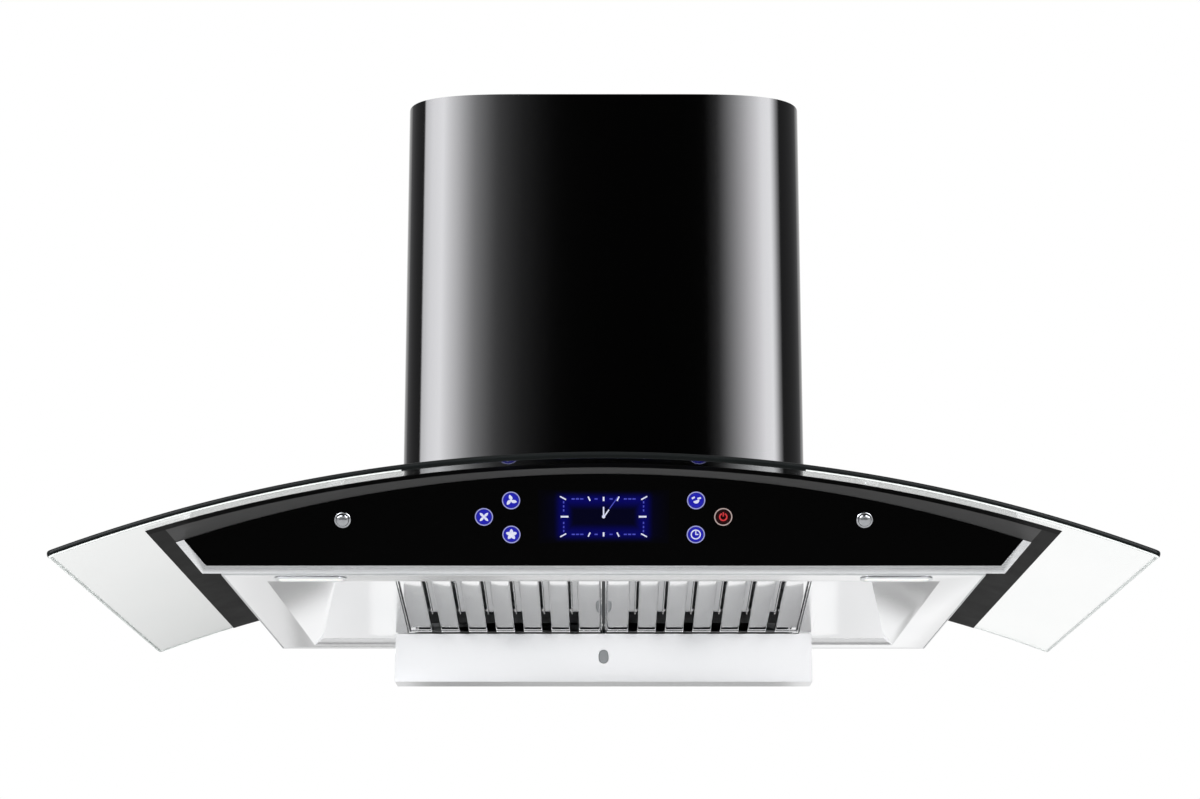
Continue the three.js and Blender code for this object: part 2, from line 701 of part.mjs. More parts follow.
for (const [side, sign] of sides) {
  const filter = new THREE.Group();
  filter.position.set(0, -FILTER_PIVOT_DEPTH, pivotHeight);
  filter.rotation.x = filterTilt;
  model.add(filter);

  const near = dividerHalf + FILTER_GAP;
  const far = near + FILTER_WIDTH;
  const span = (a, b) => (sign > 0 ? [a, b] : [-b, -a]);
  const centreX = sign * (near + FILTER_WIDTH / 2);
  const wall = FILTER_SHEET;

  const body = block(span(near, far), [-FILTER_FRONT, FILTER_REAR], [frameBottom, frameTop]);
  const hollow = block(
    span(near + wall, far - wall),
    [endBoxBack, FILTER_REAR - wall],
    [lipTop, frameTop - wall],
  );
  const windowOpening = block(
    span(near + wall, far - wall),
    [endBoxBack + FILTER_LIP, FILTER_REAR - FILTER_LIP],
    [frameBottom - 1, frameTop + 1],
  );
  const topOpening = block(
    span(near + wall, far - wall),
    [endBoxBack + wall, FILTER_REAR - wall],
    [frameTop - wall - 1, frameTop + 1],
  );
  const boltBay = block(
    span(near + wall, far - wall),
    [-FILTER_FRONT + wall, endBoxBack - wall],
    [lipTop, frameTop + 1],
  );
  const boltSlot = block(
    [centreX - BOLT_WIDTH / 2 - FIT, centreX + BOLT_WIDTH / 2 + FIT],
    [-FILTER_FRONT - 1, -FILTER_FRONT + wall + 1],
    [lipTop, lipTop + SEAT_GAP + BOLT_THICKNESS + FIT],
  );
  const tabWidth = 12;
  const tabBack = -FILTER_FRONT + 18;
  const tabLength = 4;
  const tabSlot = block(
    [centreX - tabWidth / 2 - FIT, centreX + tabWidth / 2 + FIT],
    [tabBack - tabLength - FIT, tabBack + BOLT_TRAVEL + FIT],
    [frameBottom - 1, lipTop + 1],
  );
  const outerTip = far + FILTER_GAP + SHEET;
  const innerTip = FIT;
  const pins = [
    rod('x', PIN_RADIUS, ...span(far - 1, outerTip), [0, 0], 20),
    rod('x', PIN_RADIUS, ...span(innerTip, near + 1), [0, 0], 20),
  ];
  node(
    `${side}_filter_frame`,
    join(cut(body, hollow, windowOpening, topOpening, boltBay, boltSlot, tabSlot), ...pins),
    polishedSteel,
    filter,
  );

  const slatInset = (slatPitch - SLAT_WIDTH) / 2;
  const slatStart = (index) => (index === 0 ? wall + FIT : slatPitch * index + slatInset);
  const slatEnd = (index) => (index === SLAT_COUNT - 1
    ? FILTER_WIDTH - wall - FIT
    : slatPitch * (index + 1) - slatInset);
  const slatFront = endBoxBack + wall + FIT;
  const slatRear = FILTER_REAR - wall - FIT;
  const slatFloor = lipTop + SEAT_GAP;
  const lowerSlats = [];
  for (let index = 0; index < SLAT_COUNT; index += 1) {
    const start = near + slatStart(index);
    const end = near + slatEnd(index);
    const trough = cut(
      block(span(start, end), [slatFront, slatRear], [slatFloor, slatFloor + SLAT_SIDE]),
      block(
        span(start + SLAT_SHEET, end - SLAT_SHEET),
        [slatFront - 1, slatRear + 1],
        [slatFloor + SLAT_SHEET, slatFloor + SLAT_SIDE + 1],
      ),
    );
    lowerSlats.push(trough);
  }
  const crossLength = span(near + wall + FIT, far - wall - FIT);
  const crossBar = (start, level) => block(
    crossLength,
    [start, start + FILTER_LIP - wall - FIT],
    [level, level + SLAT_SHEET],
  );
  const rearBar = slatRear - FILTER_LIP + wall + FIT;
  node(
    `${side}_lower_baffles`,
    join(...lowerSlats, crossBar(slatFront, slatFloor), crossBar(rearBar, slatFloor)),
    polishedSteel,
    filter,
  );

  const upperTop = frameTop - FIT;
  const upperBottom = slatFloor + SLAT_SIDE + UPPER_SLAT_GAP;
  const upperRear = -UPPER_SLAT_END;
  const upperSlats = [];
  for (let index = 0; index < SLAT_COUNT - 1; index += 1) {
    const middle = sign * (near + slatPitch * (index + 1) - UPPER_SLAT_SHIFT);
    const half = UPPER_SLAT_WIDTH / 2;
    const cap = cut(
      block([middle - half, middle + half], [slatFront, upperRear], [upperBottom, upperTop]),
      block(
        [middle - half + SLAT_SHEET, middle + half - SLAT_SHEET],
        [slatFront - 1, upperRear + 1],
        [upperBottom - 1, upperTop - SLAT_SHEET],
      ),
    );
    upperSlats.push(cap);
  }
  const topBar = (start) => block(
    crossLength,
    [start, start + 8],
    [upperTop - SLAT_SHEET, upperTop],
  );
  node(
    `${side}_upper_baffles`,
    join(...upperSlats, topBar(slatFront), topBar(upperRear - 8)),
    satinSteel,
    filter,
  );

  const gripRear = -HANDLE_FROM_PIVOT;
  const gripHalf = HANDLE_WIDTH / 2;
  const gripTop = frameBottom - SEAT_GAP;
  const bail = cut(
    block(
      [centreX - gripHalf, centreX + gripHalf],
      [gripRear - HANDLE_DEPTH, gripRear],
      [gripTop - HANDLE_DROP, gripTop],
    ),
    block(
      [centreX - gripHalf + 2, centreX + gripHalf - 2],
      [gripRear - HANDLE_DEPTH - 1, gripRear + 1],
      [gripTop - HANDLE_DROP + 2, gripTop + 1],
    ),
  );
  const feet = [-1, 1].map((end) => {
    const inner = centreX + end * (gripHalf - 1);
    const outer = centreX + end * (gripHalf + HANDLE_FOOT);
    return block(
      [Math.min(inner, outer), Math.max(inner, outer)],
      [gripRear - HANDLE_DEPTH, gripRear],
      [gripTop - 1.5, gripTop],
    );
  });
  node(`${side}_filter_handle`, join(bail, ...feet), satinSteel, filter);

  const boltFloor = lipTop + SEAT_GAP;
  const bolt = block(
    [centreX - BOLT_WIDTH / 2, centreX + BOLT_WIDTH / 2],
    [-FILTER_FRONT - BOLT_REACH, -FILTER_FRONT - BOLT_REACH + BOLT_LENGTH],
    [boltFloor, boltFloor + BOLT_THICKNESS],
  );
  const thumbTab = block(
    [centreX - tabWidth / 2, centreX + tabWidth / 2],
    [tabBack - tabLength, tabBack],
    [frameBottom - 7, boltFloor + 1],
  );
  node(`${side}_filter_latch`, join(bolt, thumbTab), zincSteel, filter);
}

// ---- Grease tray -----------------------------------------------------------------------------

const trayHalf = TRAY_WIDTH / 2;
const trayWall = SHEET;
const trayBody = deepBlock(
  [-trayHalf, trayHalf],
  [TRAY_BACK_DEPTH, TRAY_FRONT_DEPTH],
  [TRAY_BOTTOM, TRAY_FACE_TOP],
);
const trayHollow = deepBlock(
  [-trayHalf + trayWall, trayHalf - trayWall],
  [TRAY_BACK_DEPTH + trayWall, TRAY_FRONT_DEPTH - trayWall],
  [TRAY_BOTTOM + trayWall, TRAY_FACE_TOP + 1],
);
const trayRearCut = deepBlock(
  [-trayHalf - 1, trayHalf + 1],
  [TRAY_BACK_DEPTH - 1, TRAY_FRONT_DEPTH - trayWall],
  [TRAY_BACK_TOP, TRAY_FACE_TOP + 1],
);
const runnerWeb = trayHalf - trayWall - TRAY_LIP - 6;
const runnerFloor = TRAY_LIP_HEIGHT - SHEET - SEAT_GAP - SHEET;
const runnerNotches = sides.map(([, sign]) => {
  const inner = sign * (runnerWeb - 2);
  const outer = sign * (trayHalf - trayWall);
  return deepBlock(
    [Math.min(inner, outer), Math.max(inner, outer)],
    [TRAY_BACK_DEPTH - 1, TRAY_BACK_DEPTH + trayWall + 0.1],
    [runnerFloor - 1, TRAY_FACE_TOP],
  );
});
const trayLips = sides.map(([, sign]) => {
  const inner = sign * (trayHalf - trayWall - TRAY_LIP);
  const outer = sign * (trayHalf - 0.2);
  return deepBlock(
    [Math.min(inner, outer), Math.max(inner, outer)],
    [TRAY_BACK_DEPTH + trayWall + 1, TRAY_FRONT_DEPTH - 0.2],
    [TRAY_LIP_HEIGHT - SHEET, TRAY_LIP_HEIGHT],
  );
});
const trayMiddle = (TRAY_BOTTOM + TRAY_FACE_TOP) / 2 + 1;
function oblong(width, height, centreZ) {
  const shape = new THREE.Shape();
  const radius = width / 2;
  const reach = height / 2 - radius;
  shape.absarc(0, centreZ + reach, radius, 0, Math.PI, false);
  shape.absarc(0, centreZ - reach, radius, Math.PI, 2 * Math.PI, false);
  return shape;
}
const windowHole = alongDepth(
  oblong(WINDOW_WIDTH + 2 * FIT, WINDOW_HEIGHT + 2 * FIT, trayMiddle),
  TRAY_FRONT_DEPTH - trayWall - 1,
  TRAY_FRONT_DEPTH + 1,
);
node(
  'grease_tray',
  cut(
    join(cut(trayBody, trayHollow, trayRearCut, ...runnerNotches), ...trayLips),
    windowHole,
  ),
  polishedSteel,
);
const windowPane = alongDepth(
  oblong(WINDOW_WIDTH, WINDOW_HEIGHT, trayMiddle),
  TRAY_FRONT_DEPTH - trayWall - 0.5,
  TRAY_FRONT_DEPTH + 0.4,
);
const windowRim = alongDepth(
  oblong(WINDOW_WIDTH + 5, WINDOW_HEIGHT + 5, trayMiddle),
  TRAY_FRONT_DEPTH - trayWall - 2,
  TRAY_FRONT_DEPTH - trayWall - SEAT_GAP,
);
node('tray_window', join(windowPane, windowRim), greyPlastic);

for (const [side, sign] of sides) {
  const web = sign * runnerWeb;
  const lipEnd = sign * (trayHalf - trayWall - 2);
  const foot = sign * (runnerWeb - 14);
  const pair = (a, b) => [Math.min(a, b), Math.max(a, b)];
  const runner = join(
    deepBlock(pair(foot, web), [4, FLANGE_REAR_DEPTH - 2], [-SEAT_GAP - SHEET, -SEAT_GAP]),
    deepBlock(
      pair(web, web - sign * SHEET),
      [TRAY_BACK_DEPTH + trayWall + 1, RUNNER_FRONT_DEPTH],
      [runnerFloor, -SEAT_GAP],
    ),
    deepBlock(
      pair(web, lipEnd),
      [TRAY_BACK_DEPTH + trayWall + 1, RUNNER_FRONT_DEPTH],
      [runnerFloor, runnerFloor + SHEET],
    ),
    deepBlock(
      pair(web - sign * SHEET, web),
      [4, TRAY_BACK_DEPTH + trayWall + 2],
      [TRAY_BACK_TOP + 1, -SEAT_GAP],
    ),
  );
  node(`tray_runner_${side}`, runner, satinSteel);
}

// ---- Control panel ---------------------------------------------------------------------------

const displayMiddle = (DISPLAY_LOW + DISPLAY_HIGH) / 2;
const touchHalfWidth = 22;
const touchAcross = 88;
const windowHalf = touchAcross + touchHalfWidth + 1;
const trimTop = underArc(canopyTopRadius + GASKET_THICKNESS - 0.4, 0, GLASS_DEPTH);
const trimBack = panelPrism(panelOutline(0), -TRIM_THICKNESS, 0).intersect(trimTop);
const pocket = panelPrism(panelOutline(TRIM_WIDTH), -PANEL_GLASS_THICKNESS - SEAT_GAP, 1);
const trimWindow = panelBlock(windowHalf, [DISPLAY_LOW - 1, DISPLAY_HIGH + 1], [-10, 1]);
node('panel_trim_frame', cut(trimBack, pocket, trimWindow, ...capHoles), satinSteel);

const panelGlassTop = underArc(canopyTopRadius + GASKET_THICKNESS - 0.8, 0, GLASS_DEPTH);
const panelGlass = panelPrism(panelOutline(TRIM_WIDTH + FIT), -PANEL_GLASS_THICKNESS, 0)
  .intersect(panelGlassTop);
node('control_glass', cut(panelGlass, ...capHoles), glossBlack);

for (const [side, sign] of sides) {
  const disc = (radius, back, front) => {
    const shape = new THREE.Shape();
    shape.absarc(sign * CAP_ACROSS, CAP_UP, radius, 0, 2 * Math.PI, false);
    return panelPrism(shape, back, front, 10);
  };
  const cap = join(
    disc(CAP_RADIUS, SEAT_GAP, 2.6),
    disc(CAP_RADIUS - 2, 2, 4),
    disc(SCREW_SHANK_RADIUS, -TRIM_THICKNESS - 1, 1),
  );
  node(`panel_cap_${side}`, cap, polishedSteel);
}

const behindGlass = -PANEL_GLASS_THICKNESS - SEAT_GAP;
node(
  'display_module',
  panelBlock(
    DISPLAY_WIDTH / 2,
    [DISPLAY_LOW, DISPLAY_HIGH],
    [behindGlass - DISPLAY_THICKNESS, behindGlass],
  ).intersect(underArc(canopyTopRadius - SHEET - FIT, 0, GLASS_DEPTH)),
  blackPlastic,
);
for (const [side, sign] of sides) {
  const across = sign * touchAcross;
  const touchBoard = panelPrism(
    outline([
      [across - touchHalfWidth, displayMiddle - 21],
      [across + touchHalfWidth, displayMiddle - 21],
      [across + touchHalfWidth, displayMiddle + 21],
      [across - touchHalfWidth, displayMiddle + 21],
    ]),
    behindGlass - BOARD_THICKNESS,
    behindGlass,
  );
  node(`touch_board_${side}`, touchBoard, boardGreen);
}

const boxWall = 1.5;
const boxFront = -TRIM_THICKNESS - SEAT_GAP;
const boxFloor = controlBoxBack + boxWall;
const boardBack = boxFloor + 3;
const controlBoxSolid = cut(
  panelBlock(controlBoxHalf, [CONTROL_BOX_LOW, CONTROL_BOX_HIGH], [controlBoxBack, boxFront]),
  panelBlock(
    controlBoxHalf - boxWall,
    [CONTROL_BOX_LOW + boxWall, CONTROL_BOX_HIGH - boxWall],
    [boxFloor, boxFront + 1],
  ),
);
const boardPosts = [-1, 1].map((sign) => panelPrism(
  outline([
    [sign * 96 - 4, 40],
    [sign * 96 + 4, 40],
    [sign * 96 + 4, 48],
    [sign * 96 - 4, 48],
  ]),
  boxFloor - 0.5,
  boardBack - SEAT_GAP,
));
node(
  'control_box',
  join(controlBoxSolid, ...boardPosts).intersect(
    underArc(canopyTopRadius - SHEET - FIT, 0, GLASS_DEPTH),
  ),
  blackPlastic,
);
node(
  'control_board',
  panelBlock(
    controlBoxHalf - boxWall - 1,
    [CONTROL_BOX_LOW + boxWall + 1, CONTROL_BOX_HIGH - boxWall - 1],
    [boardBack, boardBack + BOARD_THICKNESS],
  ),
  boardGreen,
);

// ---- Lamps -----------------------------------------------------------------------------------

for (const [side, sign] of sides) {
  const centre = sign * LAMP_ACROSS;
  const housing = cut(
    join(
      upward(lampOutline(centre, LAMP_LENGTH, LAMP_WIDTH), -1.6, -SEAT_GAP),
      upward(
        lampOutline(centre, LAMP_LENGTH - 2 - 2 * FIT, LAMP_WIDTH - 2 - 2 * FIT),
        -1,
        LAMP_HOUSING_HEIGHT,
      ),
    ),
    upward(
      lampOutline(centre, LAMP_LENGTH - 2 * LAMP_RIM - 2, LAMP_WIDTH - 2 * LAMP_RIM - 2),
      -3,
      LAMP_HOUSING_HEIGHT - 2,
    ),
  );
  node(`lamp_housing_${side}`, housing, satinSteel);
  const lens = upward(
    lampOutline(
      centre,
      LAMP_LENGTH - 2 * LAMP_RIM - 2 - 2 * FIT,
      LAMP_WIDTH - 2 * LAMP_RIM - 2 - 2 * FIT,
    ),
    -1.3,
    1.7,
  );
  node(`lamp_lens_${side}`, lens, lensWhite);
}
node(
  'light_driver',
  deepBlock(
    [DRIVER_ACROSS - DRIVER_LENGTH / 2, DRIVER_ACROSS + DRIVER_LENGTH / 2],
    [LAMP_DEPTH - DRIVER_WIDTH / 2, LAMP_DEPTH + DRIVER_WIDTH / 2],
    [SHEET + SEAT_GAP, SHEET + SEAT_GAP + DRIVER_HEIGHT],
  ),
  whitePlastic,
);

// ---- Chimney ---------------------------------------------------------------------------------

// A U in plan, open at the wall, with a return at each back end. Its front is flat in the middle
// and bends away in one superellipse on each side.
function chimneyPlan(half, back, front, corner) {
  const reach = half - CHIMNEY_FLAT_HALF;
  const share = 2 / CHIMNEY_CORNER_POWER;
  const right = [];
  for (let step = 0; step <= CHIMNEY_CORNER_STEPS; step += 1) {
    const turn = (step / CHIMNEY_CORNER_STEPS) * 90 * RADIAN;
    const round = Math.max(Math.cos(turn), 0) ** share;
    right.push([
      CHIMNEY_FLAT_HALF + reach * Math.sin(turn) ** share,
      corner * (1 - round) - front,
    ]);
  }
  right.push([half, -back]);
  const left = right.map(([x, y]) => [-x, y]).reverse();
  return outline([...left, ...right]);
}

function chimneySleeve(half, back, front, corner, bottom, top) {
  const shell = upward(chimneyPlan(half, back, front, corner), bottom, top, 10);
  const inside = upward(
    chimneyPlan(half - SHEET, back + SHEET, front - SHEET, corner - SHEET),
    bottom - 1,
    top + 1,
    10,
  );
  const openBack = deepBlock(
    [-half + CHIMNEY_RETURN, half - CHIMNEY_RETURN],
    [back - 1, back + SHEET + 1],
    [bottom - 1, top + 1],
  );
  return cut(shell, inside, openBack);
}

const chimneyHalf = CHIMNEY_WIDTH / 2;
const chimneyFoot = arcHeight(chimneyHalf, GLASS_RADIUS) - 5;
node(
  'chimney_cover',
  cut(
    chimneySleeve(
      chimneyHalf,
      CANOPY_WALL_GAP,
      CHIMNEY_DEPTH,
      CHIMNEY_CORNER,
      chimneyFoot,
      CHIMNEY_TOP,
    ),
    underArc(GLASS_RADIUS + SEAT_GAP, -5, GLASS_DEPTH),
  ),
  glossBlack,
);
node(
  'chimney_extension',
  chimneySleeve(
    chimneyHalf - SHEET - EXTENSION_GAP,
    EXTENSION_BACK_DEPTH,
    CHIMNEY_DEPTH - SHEET - EXTENSION_GAP,
    CHIMNEY_CORNER - SHEET - EXTENSION_GAP,
    EXTENSION_TOP - EXTENSION_LENGTH,
    EXTENSION_TOP,
  ),
  glossBlack,
);

const STRAP_HEIGHT = 24;
const strapTop = CHIMNEY_TOP - 20;
node(
  'chimney_wall_bracket',
  deepBlock(
    [-chimneyHalf + 4, chimneyHalf - 4],
    [0, CANOPY_WALL_GAP - SEAT_GAP],
    [strapTop - STRAP_HEIGHT, strapTop],
  ),
  zincSteel,
);

// ---- Blower box and wall hanging -------------------------------------------------------------

const collarX = VOLUTE_CENTRE_X
  + (VOLUTE_LARGE_RADIUS + VOLUTE_SMALL_RADIUS * Math.cos(TONGUE_ANGLE * RADIAN)) / 2;
const collarDepth = VOLUTE_BACK_DEPTH + VOLUTE_DEPTH / 2;
const outletHalf = (VOLUTE_LARGE_RADIUS - VOLUTE_SMALL_RADIUS * Math.cos(TONGUE_ANGLE * RADIAN)) / 2;
const boxBottom = THROAT_TOP + SEAT_GAP;

const blowerBox = cut(
  deepBlock([-boxHalf, boxHalf], [BOX_BACK_DEPTH, BOX_FRONT_DEPTH], [boxBottom, BOX_TOP]),
  deepBlock(
    [-boxHalf + SHEET, boxHalf - SHEET],
    [BOX_BACK_DEPTH + SHEET, BOX_FRONT_DEPTH - SHEET],
    [boxBottom + SHEET, BOX_TOP - SHEET],
  ),
  deepBlock(
    [-throatHalf + BOX_FLOOR_LEDGE, throatHalf - BOX_FLOOR_LEDGE],
    [throatBack + BOX_FLOOR_LEDGE, throatFront - BOX_FLOOR_LEDGE],
    [boxBottom - 1, boxBottom + SHEET + 1],
  ),
  deepBlock(
    [collarX - outletHalf + OUTLET_INSET, collarX + outletHalf - OUTLET_INSET],
    [VOLUTE_BACK_DEPTH + OUTLET_INSET, VOLUTE_BACK_DEPTH + VOLUTE_DEPTH - OUTLET_INSET],
    [BOX_TOP - SHEET - 1, BOX_TOP + 1],
  ),
);
node('blower_box', blowerBox, zincSteel);

const bracketTop = HANGING_HEIGHT + BRACKET_RISE;
const bracketHalf = BRACKET_WIDTH / 2;
const hookBack = BRACKET_SHEET + HOOK_GAP;
const wallBracket = join(
  deepBlock(
    [-bracketHalf, bracketHalf],
    [0, BRACKET_SHEET],
    [HANGING_HEIGHT - BRACKET_DROP, bracketTop],
  ),
  deepBlock(
    [-bracketHalf, bracketHalf],
    [0, hookBack + HOOK_SHEET],
    [bracketTop - BRACKET_SHEET, bracketTop],
  ),
  deepBlock(
    [-bracketHalf, bracketHalf],
    [hookBack, hookBack + HOOK_SHEET],
    [bracketTop - BRACKET_SHEET, bracketTop + HOOK_RISE],
  ),
);
const wallHoles = [-1, 1].map((sign) => rod(
  'y',
  BRACKET_HOLE_RADIUS,
  -BRACKET_SHEET - 1,
  1,
  [sign * (bracketHalf - BRACKET_HOLE_INSET), HANGING_HEIGHT - BRACKET_DROP / 2],
));
node('wall_bracket', cut(wallBracket, ...wallHoles), zincSteel);

const railFront = BOX_BACK_DEPTH - SEAT_GAP;
const railBack = railFront - HOOK_SHEET;
const railTop = bracketTop + HOOK_RISE + RAIL_CREST_RISE;
const railAcross = [-bracketHalf + RAIL_SHORTENING, bracketHalf - RAIL_SHORTENING];
node(
  'hanging_rail',
  join(
    deepBlock(railAcross, [railBack, railFront], [bracketTop - RAIL_FOOT_DROP, railTop]),
    deepBlock(railAcross, [RAIL_BACK_DEPTH, railFront], [railTop - RAIL_CREST_SHEET, railTop]),
    deepBlock(
      railAcross,
      [RAIL_BACK_DEPTH, hookBack - SEAT_GAP],
      [bracketTop + SEAT_GAP, railTop],
    ),
  ),
  zincSteel,
);

// ---- Volute, impeller and motor --------------------------------------------------------------

// Spiral casing outline with its outlet channel going straight up, shrunk by a wall.
function voluteOutline(wall, top) {
  const points = [];
  const turns = 36;
  for (let step = 0; step <= turns; step += 1) {
    const share = step / turns;
    const angle = (TONGUE_ANGLE + (360 - TONGUE_ANGLE) * share) * RADIAN;
    const radius = VOLUTE_SMALL_RADIUS + (VOLUTE_LARGE_RADIUS - VOLUTE_SMALL_RADIUS) * share - wall;
    points.push([
      VOLUTE_CENTRE_X + radius * Math.cos(angle),
      VOLUTE_CENTRE_Z + radius * Math.sin(angle),
    ]);
  }
  const tongueX = VOLUTE_CENTRE_X + VOLUTE_SMALL_RADIUS * Math.cos(TONGUE_ANGLE * RADIAN) + wall;
  points.push([VOLUTE_CENTRE_X + VOLUTE_LARGE_RADIUS - wall, top]);
  points.push([tongueX, top]);
  return outline(points);
}

const voluteFront = VOLUTE_BACK_DEPTH + VOLUTE_DEPTH;
const voluteTop = BOX_TOP - SHEET - SEAT_GAP;
const inletHole = rod(
  'y',
  INLET_RADIUS,
  -voluteFront - 10,
  -VOLUTE_BACK_DEPTH + 10,
  [VOLUTE_CENTRE_X, VOLUTE_CENTRE_Z],
  40,
);
node(
  'volute_casing',
  cut(
    alongDepth(voluteOutline(0, voluteTop), VOLUTE_BACK_DEPTH, voluteFront - SHEET - SEAT_GAP),
    alongDepth(voluteOutline(SHEET, voluteTop + 5), VOLUTE_BACK_DEPTH + SHEET, voluteFront + 5),
    inletHole,
  ),
  zincSteel,
);
node(
  'volute_front_plate',
  cut(
    alongDepth(voluteOutline(0, voluteTop), voluteFront - SHEET, voluteFront),
    inletHole,
  ),
  zincSteel,
);

const impellerBack = VOLUTE_BACK_DEPTH + (VOLUTE_DEPTH - IMPELLER_LENGTH) / 2;
const impellerFront = impellerBack + IMPELLER_LENGTH;
const impellerMiddle = (impellerBack + impellerFront) / 2;
const impellerAxis = [VOLUTE_CENTRE_X, VOLUTE_CENTRE_Z];
const ringInner = IMPELLER_RADIUS - BLADE_CHORD;
const rim = (near, far) => cut(
  rod('y', IMPELLER_RADIUS, -far, -near, impellerAxis, 36),
  rod('y', ringInner, -far - 1, -near + 1, impellerAxis, 36),
);
const bladeSolid = (index) => {
  const blade = new THREE.BoxGeometry(BLADE_CHORD - 1, IMPELLER_LENGTH - 2, 1);
  blade.rotateY(-35 * RADIAN);
  blade.translate(IMPELLER_RADIUS - BLADE_CHORD / 2, 0, 0);
  blade.rotateY((index * 2 * Math.PI) / BLADE_COUNT);
  blade.translate(VOLUTE_CENTRE_X, -impellerMiddle, VOLUTE_CENTRE_Z);
  return toSolid(blade);
};
const blades = Array.from({ length: BLADE_COUNT }, (_, index) => bladeSolid(index));
const MOTOR_BACK = 34;
const motorFront = MOTOR_BACK + MOTOR_LENGTH;
const shaftTip = impellerMiddle + 14;
node(
  'impeller',
  cut(
    join(
      ...blades,
      rim(impellerBack, impellerBack + 3),
      rim(impellerFront - 3, impellerFront),
      rod('y', IMPELLER_RADIUS - 1, -impellerMiddle - 1, -impellerMiddle + 1, impellerAxis, 36),
      rod('y', HUB_RADIUS, -shaftTip, -impellerMiddle + 14, impellerAxis, 24),
    ),
    rod('y', SHAFT_RADIUS + FIT, -shaftTip - 1, -impellerMiddle + 20, impellerAxis, 24),
  ),
  zincSteel,
);
node(
  'motor',
  join(
    rod('y', MOTOR_RADIUS, -motorFront, -MOTOR_BACK, impellerAxis, 32),
    rod(
      'y',
      MOTOR_BOSS_RADIUS,
      -motorFront - MOTOR_BOSS_RISE,
      -MOTOR_BACK + MOTOR_BOSS_RISE,
      impellerAxis,
      24,
    ),
    rod('y', SHAFT_RADIUS, -shaftTip, -motorFront + 1, impellerAxis, 24),
  ),
  blackPlastic,
);

const spiderFront = VOLUTE_BACK_DEPTH - SEAT_GAP;
const spiderBack = spiderFront - SPIDER_SHEET;
const spiderArms = [90, 210, 330].map((degrees) => {
  const arm = new THREE.BoxGeometry(SPIDER_ARM_LENGTH, SPIDER_SHEET, SPIDER_ARM_WIDTH);
  arm.translate(MOTOR_RADIUS + SPIDER_ARM_LENGTH / 2 + SPIDER_RING_WIDTH / 2, 0, 0);
  arm.rotateY(-degrees * RADIAN);
  arm.translate(VOLUTE_CENTRE_X, -(spiderFront + spiderBack) / 2, VOLUTE_CENTRE_Z);
  return toSolid(arm);
});
node(
  'motor_bracket',
  cut(
    join(
      rod('y', MOTOR_RADIUS + SPIDER_RING_WIDTH, -spiderFront, -spiderBack, impellerAxis, 32),
      ...spiderArms,
    ),
    rod('y', MOTOR_RADIUS + FIT, -spiderFront - 1, -spiderBack + 1, impellerAxis, 32),
  ),
  zincSteel,
);

// ---- Duct collar and back-draught flaps ------------------------------------------------------

const collarFloor = BOX_TOP + SEAT_GAP;
const collarCentre = [collarX, -collarDepth];
const pinHeight = collarFloor + FLAP_PIN_RISE;
const collarInner = COLLAR_RADIUS - SHEET;
const pinHole = rod(
  'y',
  FLAP_PIN_RADIUS + FIT,
  -collarDepth - COLLAR_RADIUS - 5,
  -collarDepth + COLLAR_RADIUS + 5,
  [collarX, pinHeight],
  16,
);
node(
  'duct_collar',
  cut(
    join(
      rod('z', COLLAR_RADIUS + COLLAR_FLANGE, collarFloor, collarFloor + 1.5, collarCentre, 36),
      rod('z', COLLAR_RADIUS, collarFloor, collarFloor + COLLAR_HEIGHT, collarCentre, 36),
    ),
    rod('z', collarInner, collarFloor - 1, collarFloor + COLLAR_HEIGHT + 1, collarCentre, 36),
    pinHole,
  ),
  blackPlastic,
);
node(
  'flap_pin',
  rod(
    'y',
    FLAP_PIN_RADIUS,
    -collarDepth - COLLAR_RADIUS - 1,
    -collarDepth + COLLAR_RADIUS + 1,
    [collarX, pinHeight],
    16,
  ),
  zincSteel,
);
for (const [side, sign] of sides) {
  const radius = collarInner - 1;
  const gap = FLAP_PIN_RADIUS + 0.4;
  const start = Math.asin(gap / radius);
  const half = new THREE.Shape();
  const [low, high] = [-Math.PI / 2 + start, Math.PI / 2 - start];
  half.absarc(0, 0, radius, low, high, false);
  half.closePath();
  const geometry = extrude(half, FLAP_THICKNESS, 24);
  if (sign < 0) {
    geometry.rotateZ(Math.PI);
  }
  geometry.translate(collarX, -collarDepth, pinHeight - FLAP_THICKNESS / 2);
  node(`draught_flap_${side}`, toSolid(geometry), greyPlastic);
}

// ---- Electrics on the blower box -------------------------------------------------------------

const junctionFront = JUNCTION_BACK_DEPTH + JUNCTION_LENGTH;
node(
  'junction_box',
  deepBlock(
    [JUNCTION_ACROSS - JUNCTION_WIDTH / 2, JUNCTION_ACROSS + JUNCTION_WIDTH / 2],
    [JUNCTION_BACK_DEPTH, junctionFront],
    [collarFloor, collarFloor + JUNCTION_HEIGHT],
  ),
  blackPlastic,
);
const glandPlace = [JUNCTION_ACROSS, collarFloor + JUNCTION_HEIGHT / 2];
const nutFront = junctionFront + GLAND_NUT_LENGTH;
node(
  'cable_gland',
  cut(
    join(
      rod('y', GLAND_NUT_RADIUS, -nutFront, -junctionFront - SEAT_GAP, glandPlace, 6),
      rod('y', GLAND_RADIUS, -nutFront - GLAND_CAP_LENGTH, -nutFront + 1, glandPlace, 20),
    ),
    rod('y', GLAND_BORE, -nutFront - GLAND_CAP_LENGTH - 1, -junctionFront + 1, glandPlace, 16),
  ),
  blackPlastic,
);
node(
  'capacitor',
  rod(
    'x',
    CAPACITOR_RADIUS,
    CAPACITOR_ACROSS - CAPACITOR_LENGTH / 2,
    CAPACITOR_ACROSS + CAPACITOR_LENGTH / 2,
    [-CAPACITOR_DEPTH, collarFloor + CAPACITOR_RADIUS],
    24,
  ),
  whitePlastic,
);

model.position.z = -HANGING_HEIGHT;

export default hood;
